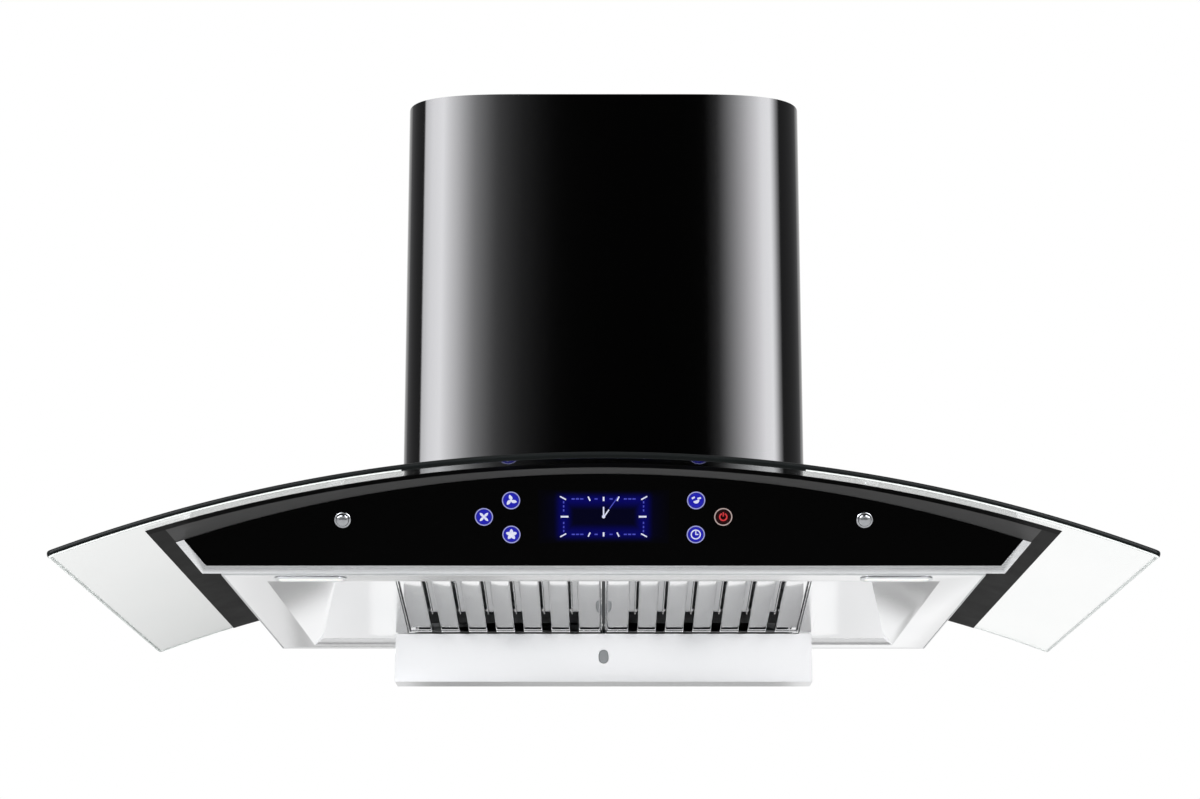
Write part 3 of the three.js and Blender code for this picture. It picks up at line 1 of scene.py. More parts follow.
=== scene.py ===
# A wall-hung range hood: a steel canopy under a curved glass visor, a gloss black chimney cover
# above, and baffle filters, lamps and a grease tray underneath. Lengths named here are in
# millimetres unless a comment says otherwise, and MM turns them to Blender's metres. The frame is
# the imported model's own: the wall is y = 0, the hood stands out along -Y, and the origin is the
# hanging bracket, 290 mm above the canopy's bottom rim.
import json
import math

import bmesh
import bpy
import numpy as np
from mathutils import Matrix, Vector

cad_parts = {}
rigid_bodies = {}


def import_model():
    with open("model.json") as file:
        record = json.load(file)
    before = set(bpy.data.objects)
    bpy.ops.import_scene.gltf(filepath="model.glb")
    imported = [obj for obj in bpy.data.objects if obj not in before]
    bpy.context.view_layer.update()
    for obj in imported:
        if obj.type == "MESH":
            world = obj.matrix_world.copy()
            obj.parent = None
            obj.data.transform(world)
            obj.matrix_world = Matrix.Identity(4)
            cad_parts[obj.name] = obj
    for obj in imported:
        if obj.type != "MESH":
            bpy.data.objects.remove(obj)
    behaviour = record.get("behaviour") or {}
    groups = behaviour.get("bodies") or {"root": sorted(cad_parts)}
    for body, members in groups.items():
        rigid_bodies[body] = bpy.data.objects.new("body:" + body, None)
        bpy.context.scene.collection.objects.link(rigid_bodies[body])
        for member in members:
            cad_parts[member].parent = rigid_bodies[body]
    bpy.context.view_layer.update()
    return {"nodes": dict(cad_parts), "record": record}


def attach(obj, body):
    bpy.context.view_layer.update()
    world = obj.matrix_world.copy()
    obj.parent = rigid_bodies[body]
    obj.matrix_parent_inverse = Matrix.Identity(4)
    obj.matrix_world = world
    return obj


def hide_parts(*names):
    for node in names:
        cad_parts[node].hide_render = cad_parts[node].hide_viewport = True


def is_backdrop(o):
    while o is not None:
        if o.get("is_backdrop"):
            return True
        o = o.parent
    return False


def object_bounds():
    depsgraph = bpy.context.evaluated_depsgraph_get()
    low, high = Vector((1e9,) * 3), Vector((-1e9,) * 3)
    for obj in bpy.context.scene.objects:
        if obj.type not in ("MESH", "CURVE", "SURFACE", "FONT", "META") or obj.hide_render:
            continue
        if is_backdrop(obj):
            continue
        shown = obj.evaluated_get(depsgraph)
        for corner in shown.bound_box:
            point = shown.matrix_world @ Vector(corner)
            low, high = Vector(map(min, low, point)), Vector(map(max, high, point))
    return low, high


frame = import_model()

# ---- Camera ------------------------------------------------------------------------------------
# The photograph looks along +Y from below the rim, square to the wall, with the hood's verticals
# almost parallel. A tilt and a small lens shift stand for the photographer's shift lens: a larger
# shift would push the hood out of the picture in views from other sides.

MM = 0.001
RIM_Z = -290
PHOTO_WIDTH_PIXELS = 1200
FOCAL_LENGTH_PIXELS = 2290
SENSOR_WIDTH = 36.0
CAMERA_DISTANCE = 2285
CAMERA_HEIGHT = -669
CAMERA_TILT = 11.45
SHIFT_ACROSS = -0.003
SHIFT_UP = 0.14
CLIP_END_METRES = 60

lens = bpy.data.cameras.new("camera")
lens.sensor_width = SENSOR_WIDTH
lens.lens = FOCAL_LENGTH_PIXELS / PHOTO_WIDTH_PIXELS * SENSOR_WIDTH
lens.shift_x = SHIFT_ACROSS
lens.shift_y = SHIFT_UP
lens.clip_end = CLIP_END_METRES
camera = bpy.data.objects.new("camera", lens)
camera.location = (0, -CAMERA_DISTANCE * MM, CAMERA_HEIGHT * MM)
camera.rotation_euler = (math.radians(90 + CAMERA_TILT), 0, 0)
scene = bpy.context.scene
scene.collection.objects.link(camera)
scene.camera = camera
scene.view_settings.view_transform = "Standard"

# ---- Room --------------------------------------------------------------------------------------
# A plain white studio: a pale floor, a white world, soft lamps, and cards that only reflections
# see. The curved sweep in front is black with two soft bright bands, which draw the long
# highlights on the chimney's round corners. Grey cards on the floor give the steel its greys.

FLOOR_HEIGHT = -1620
FLOOR_REACH = 60000
WORLD_FILL = 0.8
SWEEP_RADIUS = 3300
SWEEP_LOW = -500
SWEEP_HIGH = 4200
SWEEP_REACH = 125
SWEEP_STRENGTH = 17.0
SWEEP_BLUE = 1.03
WELD = 0.002
SLIVER = 0.0001


def linear(code):
    """An sRGB hex colour as linear RGBA: c / 12.92 up to 0.04045, and above that
    ((c + 0.055) / 1.055) ** 2.4."""
    values = [int(code[start:start + 2], 16) / 255 for start in (1, 3, 5)]
    curve = [c / 12.92 if c <= 0.04045 else ((c + 0.055) / 1.055) ** 2.4 for c in values]
    return (*curve, 1.0)


def add(tree, kind, inputs=None, **settings):
    """A shader node with its settings. Each input is a value, a socket to link from, or a whole
    node, which is linked from its first output in use."""
    node = tree.nodes.new("ShaderNode" + kind)
    for name, value in settings.items():
        setattr(node, name, value)
    for name, value in (inputs or {}).items():
        if isinstance(value, bpy.types.Node):
            value = next(socket for socket in value.outputs if socket.enabled)
        if isinstance(value, bpy.types.NodeSocket):
            tree.links.new(value, node.inputs[name])
        else:
            node.inputs[name].default_value = value
    return node


def bare_tree(owner):
    """An owner's node tree, emptied."""
    owner.use_nodes = True
    owner.node_tree.nodes.clear()
    return owner.node_tree


def material(name):
    """A new material, its emptied tree, and the socket that gives an object's own coordinates."""
    made = bpy.data.materials.new(name)
    tree = bare_tree(made)
    return made, tree, add(tree, "TexCoord").outputs["Object"]


def points_of(*axes):
    """Points from their coordinates, which are spread to one shape."""
    return np.stack(np.broadcast_arrays(*axes), axis=-1)


def grid_mesh(name, points, wrap=False, caps=False):
    """Quads over an array of points (rows, columns, 3), in mm: quad (i, j) joins (i, j),
    (i, j + 1), (i + 1, j + 1) and (i + 1, j). wrap joins the last column to the first, and caps
    close the first and last rows with one face each."""
    rows, columns = points.shape[:2]
    index = np.arange(rows * columns).reshape(rows, columns)
    around = np.concatenate([index, index[:, :1]], axis=1) if wrap else index
    quads = np.stack([around[:-1, :-1], around[:-1, 1:], around[1:, 1:], around[1:, :-1]], axis=-1)
    faces = quads.reshape(-1, 4).tolist()
    if caps:
        faces += [index[0, ::-1].tolist(), index[-1].tolist()]
    mesh = bpy.data.meshes.new(name)
    mesh.from_pydata((points.reshape(-1, 3) * MM).tolist(), [], faces)
    return mesh


def welded(name, *meshes):
    """One mesh from several, with doubles merged and faces turned outwards."""
    whole = bmesh.new()
    for mesh in meshes:
        whole.from_mesh(mesh)
    bmesh.ops.remove_doubles(whole, verts=whole.verts, dist=WELD * MM)
    bmesh.ops.dissolve_degenerate(whole, edges=whole.edges, dist=SLIVER * MM)
    bmesh.ops.recalc_face_normals(whole, faces=whole.faces)
    result = bpy.data.meshes.new(name)
    whole.to_mesh(result)
    whole.free()
    return result


def stage_card(name, mesh, shade):
    """A floor or backdrop, which isn't part of the hood."""
    mesh.materials.append(shade)
    card = bpy.data.objects.new(name, mesh)
    scene.collection.objects.link(card)
    card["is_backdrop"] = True
    return card


def soft_lamp(name, place, aim, size, watts):
    """A rectangular lamp at a place in mm, turned towards another."""
    lamp = bpy.data.lights.new(name, "AREA")
    lamp.shape = "RECTANGLE"
    lamp.size, lamp.size_y = size[0] * MM, size[1] * MM
    lamp.energy = watts
    holder = bpy.data.objects.new(name, lamp)
    holder.location = [value * MM for value in place]
    way = [end - start for start, end in zip(place, aim)]
    flat = math.hypot(way[0], way[1])
    turn = math.atan2(way[1], way[0]) - math.pi / 2
    holder.rotation_euler = (math.atan2(flat, -way[2]), 0, turn)
    scene.collection.objects.link(holder)
    return holder


world = bpy.data.worlds.new("white_studio")
scene.world = world
tree = bare_tree(world)
rays = add(tree, "LightPath")
seen = rays.outputs["Is Camera Ray"]
for kind in ("Is Glossy Ray", "Is Transmission Ray"):
    seen = add(tree, "Math", {0: seen, 1: rays.outputs[kind]}, operation="MAXIMUM")
level = add(tree, "MapRange", {"Value": seen, "To Min": WORLD_FILL, "To Max": 1.0})
sky = add(tree, "Background", {"Color": linear("#FFFFFF"), "Strength": level})
add(tree, "OutputWorld", {"Surface": sky})

# Pale floor paint. Its underside is see-through, so the hood can be looked at from below.
pale_floor = bpy.data.materials.new("pale_floor_paint")
tree = bare_tree(pale_floor)
matt = {"Base Color": linear("#F4F4F4"), "Roughness": 0.7, "Specular IOR Level": 0.2}
sides = {
    0: add(tree, "NewGeometry").outputs["Backfacing"],
    1: add(tree, "BsdfPrincipled", matt),
    2: add(tree, "BsdfTransparent"),
}
add(tree, "OutputMaterial", {"Surface": add(tree, "MixShader", sides)})
edge = np.array([-FLOOR_REACH, FLOOR_REACH])
floor = points_of(edge, edge[:, None], FLOOR_HEIGHT)
stage_card("floor", grid_mesh("floor", floor), pale_floor)

# The sweep's light, by angle round the hood: dark in front, then a long soft rise to a broad
# bright band on each side, cut off where the white room starts.
BAND_STOPS = [
    (-120, 0.03), (-67, 0.015), (-64, 0.6), (-50, 0.87), (-36, 1.0), (-24, 0.6), (-15, 0.23),
    (-8, 0.06), (-2, 0.0), (7, 0.0), (10, 0.03), (15, 0.24), (24, 0.62), (34, 0.95), (43, 1.0),
    (52, 0.28), (58, 0.015), (120, 0.03),
]
sweep_light, tree, place = material("graded_sweep")
axes = add(tree, "SeparateXYZ", {"Vector": place})
ahead = add(tree, "Math", {0: axes.outputs["Y"], 1: -1.0}, operation="MULTIPLY")
angle = add(tree, "Math", {0: axes.outputs["X"], 1: ahead}, operation="ARCTAN2")
reach = math.radians(SWEEP_REACH)
share = add(tree, "MapRange", {"Value": angle, "From Min": -reach, "From Max": reach})
bands = add(tree, "ValToRGB", {"Fac": share})
ramp = bands.color_ramp
places = [(degrees + SWEEP_REACH) / (2 * SWEEP_REACH) for degrees, _ in BAND_STOPS]
ramp.elements[0].position, ramp.elements[1].position = places[0], places[-1]
for stop in places[1:-1]:
    ramp.elements.new(stop)
for element, (_, value) in zip(ramp.elements, BAND_STOPS):
    element.color = (value, value, value * SWEEP_BLUE, 1.0)
glow = add(tree, "Emission", {"Color": bands, "Strength": SWEEP_STRENGTH})
add(tree, "OutputMaterial", {"Surface": glow})
around = np.radians(np.linspace(-SWEEP_REACH, SWEEP_REACH, 61))[:, None]
climb = np.array([SWEEP_LOW, SWEEP_HIGH])
sweep = points_of(SWEEP_RADIUS * np.sin(around), -SWEEP_RADIUS * np.cos(around), climb)
reflected = [stage_card("light_sweep", grid_mesh("light_sweep", sweep), sweep_light)]

# Flat cards: a skirting far behind, dark in the middle and paler at both sides, which greys the
# undersides seen edge on; a white card on the floor behind, which whitens those seen more
# squarely; a grey card on the floor in front, which the tray's face shows in the filters' polished
# channels; and a card that shades the left wing of the glass. Each has its limits in x, y and z,
# and its level at the first and last y.
CARDS = {
    "skirting": ((-700, 700), (6200, 6200.1), (-1610, -794), (0.3, 0.3)),
    "skirting_left": ((-6000, -700), (6200, 6200.1), (-1610, -794), (0.8, 0.8)),
    "skirting_right": ((700, 6000), (6200, 6200.1), (-1610, -794), (0.8, 0.8)),
    "white_card": ((-6000, 6000), (1200, 6190), (-1612, -1612), (1.05, 1.05)),
    "grey_card": ((-1500, 1500), (-3700, -2250), (-1612, -1612), (0.34, 0.34)),
    "wing_card": ((-1100, -330), (3550, 5600), (-1604, -1604), (0.75, 0.0)),
}
for name, (across, along, up, levels) in CARDS.items():
    card_light, tree, place = material(f"{name}_light")
    limits = {
        "Value": add(tree, "SeparateXYZ", {"Vector": place}).outputs["Y"],
        "From Min": along[0] * MM,
        "From Max": along[1] * MM,
        "To Min": levels[0],
        "To Max": levels[1],
    }
    grey = add(tree, "Emission", {"Strength": add(tree, "MapRange", limits)})
    add(tree, "OutputMaterial", {"Surface": grey})
    corners = [[(x, y, z) for x in across] for y, z in zip(along, up)]
    card = grid_mesh(name, np.array(corners, float))
    reflected.append(stage_card(name, card, card_light))
for card in reflected:
    for kind in ("camera", "diffuse", "transmission", "shadow", "volume_scatter"):
        setattr(card, f"visible_{kind}", False)

soft_lamp("key_left", (-1900, -2100, 900), (0, -200, -100), (1200, 1200), 30)
soft_lamp("key_right", (1900, -2100, 900), (0, -200, -100), (1200, 1200), 30)
soft_lamp("bounce_under", (0, -1300, -1500), (0, -250, -290), (2400, 1600), 22)
for lamp in scene.objects:
    if lamp.type == "LIGHT":
        lamp.visible_glossy = False

# ---- Wall bracket and hanging rail -------------------------------------------------------------
# A folded hook strip screwed to the wall, and the rail on the blower box that drops over it. Both
# are galvanised steel, sheared and folded, so their edges are square with a small break.


def piece(name, mesh, shade, body, replaces=(), crease=35):
    """A finished piece: smooth but for edges sharper than the crease, riding on its body."""
    mesh.materials.append(shade)
    mesh.polygons.foreach_set("use_smooth", np.ones(len(mesh.polygons), dtype=bool))
    mesh.set_sharp_from_angle(angle=math.radians(crease))
    thing = bpy.data.objects.new(name, mesh)
    scene.collection.objects.link(thing)
    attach(thing, body)
    if replaces:
        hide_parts(*replaces)
    return thing


BODIES = frame["record"]["behaviour"]["bodies"]
BODY_OF = {node: body for body, nodes in BODIES.items() for node in nodes}
COPLANAR_DEGREES = 0.4


def stand_in(node, name, mesh, shade, crease=35):
    """A piece that stands for a CAD node, on the node's own body."""
    return piece(name, mesh, shade, BODY_OF[node], (node,), crease)


def eased(node, name, shade, radius, crease=35):
    """A welded copy of a CAD node with its coplanar triangles joined, whose edges sharper than the
    crease are rounded to a radius in mm. It stands for that node, on the node's own body."""
    whole = bmesh.new()
    whole.from_mesh(frame["nodes"][node].data)
    bmesh.ops.remove_doubles(whole, verts=whole.verts, dist=WELD * MM)
    bmesh.ops.dissolve_limit(
        whole, angle_limit=math.radians(COPLANAR_DEGREES), verts=whole.verts, edges=whole.edges
    )
    mesh = bpy.data.meshes.new(name)
    whole.to_mesh(mesh)
    whole.free()
    thing = stand_in(node, name, mesh, shade, crease)
    bevel = thing.modifiers.new("eased_edges", "BEVEL")
    bevel.width = radius * MM
    bevel.segments = 2
    bevel.limit_method = "ANGLE"
    bevel.angle_limit = math.radians(crease)
    return thing


# Hot-dip galvanised steel: grey zinc frozen into crystals 5 to 10 mm across, each a little lighter
# or duller than its neighbour.
ZINC_CRYSTAL = 7
zinc, tree, place = material("galvanised_steel")
crystal = add(
    tree, "TexVoronoi", {"Vector": place, "Scale": 1000 / ZINC_CRYSTAL, "Randomness": 1.0}
)
shard = add(tree, "RGBToBW", {"Color": crystal.outputs["Color"]})
greys = {"Factor": shard, "A": linear("#9FA4A6"), "B": linear("#C6CACC")}
dullness = {"Value": shard, "To Min": 0.48, "To Max": 0.3}
metal = {
    "Base Color": add(tree, "Mix", greys, data_type="RGBA"),
    "Metallic": 1.0,
    "Roughness": add(tree, "MapRange", dullness),
}
add(tree, "OutputMaterial", {"Surface": add(tree, "BsdfPrincipled", metal)})
eased("wall_bracket", "wall_hook_strip", zinc, 0.4)
eased("hanging_rail", "hood_hook_rail", zinc, 0.4)
eased("chimney_wall_bracket", "chimney_wall_strap", zinc, 0.3)

# ---- Canopy ------------------------------------------------------------------------------------
# The hood's body: 1.2 mm stainless steel, folded and spot welded, with a throat up into the blower
# box. Its brushed grain runs across the hood. The same sheet, polished, lines the smoke chamber.


def brushed_steel(name, tones, gloss, grain, across):
    """Stainless steel with a grain of fine lines: noise stretched a hundred times along one
    axis. The lines and a slow cloud together run the colour between two tones and the roughness
    between two values. grain is the lines' spacing in mm, and across says whether they run
    along X or Y."""
    steel, tree, place = material(name)
    fine = 1000 / grain
    stretch = (fine / 100, fine, fine) if across else (fine, fine / 100, fine)
    lines = add(tree, "Mapping", {"Vector": place, "Scale": stretch})
    streak = {"Vector": lines, "Scale": 1.0, "Detail": 3.0, "Roughness": 0.6}
    streaks = add(tree, "TexNoise", streak)
    cloud = add(tree, "TexNoise", {"Vector": place, "Scale": 7.0, "Detail": 2.0})
    mixed = add(tree, "Math", {0: streaks, 1: cloud}, operation="ADD")
    middle = {"Value": mixed, "From Min": 0.7, "From Max": 1.3}
    share = add(tree, "MapRange", middle)
    blend = {"Factor": share, "A": linear(tones[0]), "B": linear(tones[1])}
    scratch = {"Height": streaks, "Strength": 0.03, "Distance": 0.00005}
    metal = {
        "Base Color": add(tree, "Mix", blend, data_type="RGBA"),
        "Metallic": 1.0,
        "Roughness": add(tree, "MapRange", {**middle, "To Min": gloss[0], "To Max": gloss[1]}),
        "Normal": add(tree, "Bump", scratch),
    }
    add(tree, "OutputMaterial", {"Surface": add(tree, "BsdfPrincipled", metal)})
    return steel


# Brushed stainless for the hidden sheet, a finer satin for handles and trim, and polished sheet,
# bright but not a mirror, where hands wipe it clean. The real grain of 0.2 mm is too fine to show,
# so it is drawn at twice that or a little more.
canopy_steel = brushed_steel(
    "brushed_stainless_sheet", ("#B9BBBD", "#CDCFD0"), (0.36, 0.26), 0.5, True
)
satin_steel = brushed_steel(
    "satin_stainless_trim", ("#D2D4D6", "#E2E3E4"), (0.3, 0.2), 0.4, True
)
polished_steel = brushed_steel(
    "polished_stainless_sheet", ("#EDEEEF", "#F3F3F4"), (0.18, 0.15), 0.4, True
)
slat_steel = brushed_steel(
    "polished_baffle_sheet", ("#E8E9EA", "#F3F3F4"), (0.08, 0.05), 0.4, False
)

eased("canopy_shell", "canopy_body", canopy_steel, 0.4)
eased("smoke_liner", "smoke_chamber", polished_steel, 0.35)

# ---- Chimney -----------------------------------------------------------------------------------
# One bent sheet of 1.2 mm steel in gloss black enamel, open at the wall, with broad round front
# corners and a narrow return at each back edge. A second sleeve slides up inside it.

SHEET = 1.2
CHIMNEY_HALF = 184.5
CHIMNEY_FRONT = 281
CHIMNEY_BACK = 1.5
CHIMNEY_TOP = 477
CHIMNEY_RETURN = 16
CORNER_START = 60
CORNER_DEPTH = 57
CORNER_POWER = 3.2
SLEEVE_INSET = 2.1
SLEEVE_BACK = 7
SLEEVE_FOOT = 98
SLEEVE_TOP = 474
GLASS_RADIUS = 1261
GLASS_CROWN = 83.3
GLASS_SEAT = 0.4


def cover_foot(across):
    """The cover's foot stands on the glass, bent to the same arc: axis height + sqrt(r^2 - x^2),
    and a thin seat above that."""
    arc = GLASS_CROWN - GLASS_RADIUS + np.sqrt(GLASS_RADIUS ** 2 - across ** 2)
    return arc + GLASS_SEAT


def sleeve_foot(across):
    """The inner sleeve's foot is level."""
    return np.full_like(across, SLEEVE_FOOT)


def half_plan(inset, back):
    """Half a sleeve's plan, middle to back edge, as (x, distance from the wall). The front corner
    is a superellipse: with t from 0 to 90 degrees, x runs as sin(t)^(2/p) and the depth falls as
    1 - cos(t)^(2/p), which leaves the front a little crowned, as a rolled sheet is."""
    half, front = CHIMNEY_HALF - inset, CHIMNEY_FRONT - inset
    turn = np.linspace(0, math.pi / 2, 48)
    out = CORNER_START + (half - CORNER_START) * np.sin(turn) ** (2 / CORNER_POWER)
    deep = front - (CORNER_DEPTH - inset) * (1 - np.cos(turn) ** (2 / CORNER_POWER))
    flat_x = np.linspace(0, CORNER_START, 6)[:-1]
    side_y = np.linspace(deep[-1], back, 8)[1:]
    plan_x = np.concatenate([flat_x, out, np.full(7, half), [CHIMNEY_HALF - CHIMNEY_RETURN]])
    plan_y = np.concatenate([np.full(5, front), deep, side_y, [back]])
    return points_of(plan_x, plan_y)


def sleeve_mesh(name, inset, back, foot, top):
    """A U-shaped wall: the plan and the same plan one sheet further in make a closed ring, which
    is carried from foot(x) up to the top. Quads between the two plans close both rims."""
    plans = []
    for depth in (0, SHEET):
        half = half_plan(inset + depth, back + depth)
        plans.append(np.concatenate([half[:0:-1] * [-1, 1], half]))
    ring = np.concatenate([plans[0], plans[1][::-1]])
    low = foot(ring[:, 0])
    share = np.linspace(0, 1, 10)[:, None]
    height = low + (top - low) * share
    points = points_of(ring[:, 0], -ring[:, 1], RIM_Z + height)
    count = len(plans[0])
    rims = [
        grid_mesh(name, np.stack([points[row, :count], points[row, count:][::-1]]))
        for row in (0, -1)
    ]
    return welded(name, grid_mesh(name, points, wrap=True), *rims)


# Fired enamel: a hard glassy skin on steel, mirror smooth but for a faint ripple 12 mm long and
# specks of dust 1 mm apart.
enamel, tree, place = material("gloss_black_enamel")
ripple = add(tree, "TexNoise", {"Vector": place, "Scale": 1000 / 12, "Detail": 2.0})
dust = add(tree, "TexNoise", {"Vector": place, "Scale": 1000.0, "Detail": 1.0})
dulled = {"Value": dust, "From Min": 0.3, "From Max": 0.7, "To Min": 0.05, "To Max": 0.1}
skin = {
    "Base Color": linear("#010101"),
    "Roughness": add(tree, "MapRange", dulled),
    "Normal": add(tree, "Bump", {"Height": ripple, "Strength": 0.02, "Distance": 0.0004}),
}
add(tree, "OutputMaterial", {"Surface": add(tree, "BsdfPrincipled", skin)})
for name, node, inset, back, foot, top in (
    ("chimney_cover_sheet", "chimney_cover", 0, CHIMNEY_BACK, cover_foot, CHIMNEY_TOP),
    ("chimney_inner_sleeve", "chimney_extension", SLEEVE_INSET, SLEEVE_BACK, sleeve_foot,
     SLEEVE_TOP),
):
    stand_in(node, name, sleeve_mesh(name, inset, back, foot, top), enamel)

# ---- Curved glass ------------------------------------------------------------------------------
# A 5.5 mm tempered glass visor, bent to one radius, with pencil-ground edges and a notch at the
# wall for the throat. Black ceramic ink is fired on to its underside, out past the canopy's ends.
# It leaves a clear margin at the front, behind which a greyer band shows above the panel.

GLASS_HALF = 450
GLASS_DEPTH = 480
GLASS_THICKNESS = 5.5
GLASS_BACK = 2
NOTCH_HALF = 171
NOTCH_DEPTH = 259
CORNER_ROUND = 6
EDGE_LEAN = 0.2
# How far down from the top face the front edge's near-black painted shade reaches.
SHADED_EDGE_HEIGHT = 4.6
# Half-width of the front edge with the chimney behind, which is painted shade all the way down.
CHIMNEY_SHADE_HALF = 162
PRINT_HALF = 374
PRINT_MARGIN = 19
PRINT_BORDER = 14
BAND_HALF = 360
BAND_START = 394
INK_GAP = 0.03
INK_THICKNESS = 0.1
STEP = 0.05


def on_arc(radius, angle, depth):
    """Points about the axis that the glass is bent round: (r * sin a, depth, axis + r * cos a)."""
    height = GLASS_CROWN - GLASS_RADIUS + radius * np.cos(angle)
    return points_of(radius * np.sin(angle), -depth, RIM_Z + height)


def visor_mesh():
    """A loft across the glass. Each station is a section in depth and thickness whose two ends
    are half circles, set along the radius at that station's angle. Towards the sides the
    thickness shrinks as sqrt(1 - s^2), and the back end steps from the wall to the notch. The
    stations past the notch draw in by up to EDGE_LEAN, as the radius leans the edge outwards."""
    edge = GLASS_THICKNESS / 2
    inner = np.append(np.linspace(0, NOTCH_HALF - 1, 32), NOTCH_HALF - STEP)
    outer = np.linspace(NOTCH_HALF + 1, GLASS_HALF - CORNER_ROUND - 1, 48)
    outer = np.concatenate([[NOTCH_HALF + STEP], outer, [GLASS_HALF - CORNER_ROUND]])
    corner = GLASS_HALF - CORNER_ROUND + (CORNER_ROUND - edge) * np.linspace(0.2, 1, 5)
    ground = GLASS_HALF - edge + edge * np.sin(np.linspace(0.1, 1, 8) * math.pi / 2)
    right = np.concatenate([inner, outer, corner, ground])
    x = np.concatenate([-right[:0:-1], right])
    away = np.abs(x)
    past_edge = np.clip((away - GLASS_HALF + edge) / edge, 0, 1)
    thin = np.sqrt(1 - past_edge ** 2)
    over = np.clip(away - GLASS_HALF + CORNER_ROUND, 0, None)
    cut = CORNER_ROUND - np.sqrt(CORNER_ROUND ** 2 - over ** 2)
    front = GLASS_DEPTH - cut
    back = np.where(away < NOTCH_HALF, NOTCH_DEPTH, GLASS_BACK + cut)
    turn = np.linspace(-math.pi / 2, math.pi / 2, 9)
    run = np.concatenate([[0.002], np.linspace(0, 1, 12)[1:-1], [0.998]])
    share = np.concatenate([np.ones(9), run[::-1], np.zeros(9), run])
    bulge = np.concatenate([np.cos(turn), 0 * run, -np.cos(turn), 0 * run])
    level = np.concatenate([np.sin(turn), 0 * run + 1, np.sin(turn[::-1]), 0 * run - 1])
    length = np.maximum(front - back - 2 * edge, 0)[:, None]
    depth = back[:, None] + edge + length * share + edge * thin[:, None] * bulge
    radius = GLASS_RADIUS - edge + edge * thin[:, None] * level
    past_notch = np.clip((away - NOTCH_HALF) / (GLASS_HALF - NOTCH_HALF), 0, 1)
    middle = np.sign(x) * (away - EDGE_LEAN * past_notch)
    angle = np.arcsin(middle / (GLASS_RADIUS - edge))[:, None]
    visor = grid_mesh("glass_visor", on_arc(radius, angle, depth), wrap=True, caps=True)
    return welded("glass_visor", visor)


def print_mesh(name, half, near, far, notch, layer):
    """A thin closed sheet under the glass: a grid over the arc's angle and the depth from the
    wall, on two radii an ink's thickness apart, with its back edge stepped round the notch. Each
    layer of ink lies under the one before it."""
    x = np.linspace(-half, half, 81)
    if notch:
        steps = [side * notch + small for side in (-1, 1) for small in (-STEP, STEP)]
        x = np.sort(np.concatenate([x, steps]))
    back = np.where(np.abs(x) < notch, NOTCH_DEPTH + 1, near)[:, None]
    share = np.linspace(0, 1, 9)
    depth = back + (far - back) * share
    under = GLASS_RADIUS - GLASS_THICKNESS - INK_GAP - layer * (INK_GAP + INK_THICKNESS)
    layers = []
    for radius in (under, under - INK_THICKNESS):
        layers.append(on_arc(radius, np.arcsin(x / radius)[:, None], depth))
    section = np.concatenate([layers[0], layers[1][:, ::-1]], axis=1)
    return welded(name, grid_mesh(name, section, wrap=True, caps=True))


def speckled(name, grain, tones, gloss, more, relief=None, detail=2.0, tone_to="Base Color"):
    """A material that follows one noise, its grain given in mm. A colour runs between two tones,
    and the roughness between two values, or stays at one. relief is a bump's strength and its
    height in metres, tone_to is the shader's input that takes the colour, and more sets others."""
    made, tree, place = material(name)
    noise = add(tree, "TexNoise", {"Vector": place, "Scale": 1000 / grain, "Detail": detail})
    blend = {"Factor": noise, "A": linear(tones[0]), "B": linear(tones[1])}
    inputs = {tone_to: add(tree, "Mix", blend, data_type="RGBA"), "Roughness": gloss, **more}
    if isinstance(gloss, tuple):
        spread = {"Value": noise, "To Min": gloss[0], "To Max": gloss[1]}
        inputs["Roughness"] = add(tree, "MapRange", spread)
    if relief:
        bump = {"Height": noise, "Strength": relief[0], "Distance": relief[1]}
        inputs["Normal"] = add(tree, "Bump", bump)
    add(tree, "OutputMaterial", {"Surface": add(tree, "BsdfPrincipled", inputs)})
    return made


# Tempered float glass: clear with a faint green-grey, and a slow roller wave about 100 mm long.
tempered_glass = speckled(
    "tempered_glass", 100, ("#FAFCFB", "#FEFFFE"), 0.0,
    {"IOR": 1.45, "Transmission Weight": 1.0}, (0.02, 0.0002), 0.0,
)
visor = stand_in("curved_glass", "glass_visor", visor_mesh(), tempered_glass)

# The ground edge: a grey-green fine matt, as a diamond wheel leaves it, with specks 0.4 mm apart.
# The front edge's near-black is painted shade, for the dark look of the edge seen through the
# whole depth of the glass. Its lower arris and the side edges take a pale painted reflection of
# the white room, but where the black chimney is behind, the lower arris takes the painted shade.
for name, tones, shine in (
    ("ground_glass_front_painted_shade", ("#060808", "#0F1313"), 0.06),
    ("ground_glass_side_painted_reflection", ("#DADFDD", "#E8ECEA"), 0.3),
):
    matt = speckled(name, 0.4, tones, (0.4, 0.25), {"Specular IOR Level": shine})
    visor.data.materials.append(matt)
centres = np.empty(len(visor.data.polygons) * 3)
visor.data.polygons.foreach_get("center", centres)
from_middle, from_front, height = centres.reshape(-1, 3).T / MM
out, depth = np.abs(from_middle), -from_front
rise = np.hypot(out, height - RIM_Z - GLASS_CROWN + GLASS_RADIUS) - GLASS_RADIUS
rounding = GLASS_THICKNESS / 2 - 0.15
corner_cut = CORNER_ROUND * (out > GLASS_HALF - CORNER_ROUND)
ground = depth > GLASS_DEPTH - corner_cut - rounding
# Painted shade: the front edge's upper part, and all of it where the chimney is behind.
dark = ground & ((rise > -SHADED_EDGE_HEIGHT) | (out < CHIMNEY_SHADE_HALF))
ground |= out > GLASS_HALF - rounding
ground |= depth < GLASS_BACK + rounding
ground |= (out < NOTCH_HALF) & (depth < NOTCH_DEPTH + rounding)
ground |= (np.abs(out - NOTCH_HALF) < 2 * STEP) & (depth < NOTCH_DEPTH)
# Index 1 is the near-black painted shade, index 2 the pale painted reflection of the room.
shades = np.where(dark, 1, np.where(ground, 2, 0)).astype(np.int32)
visor.data.polygons.foreach_set("material_index", shades)


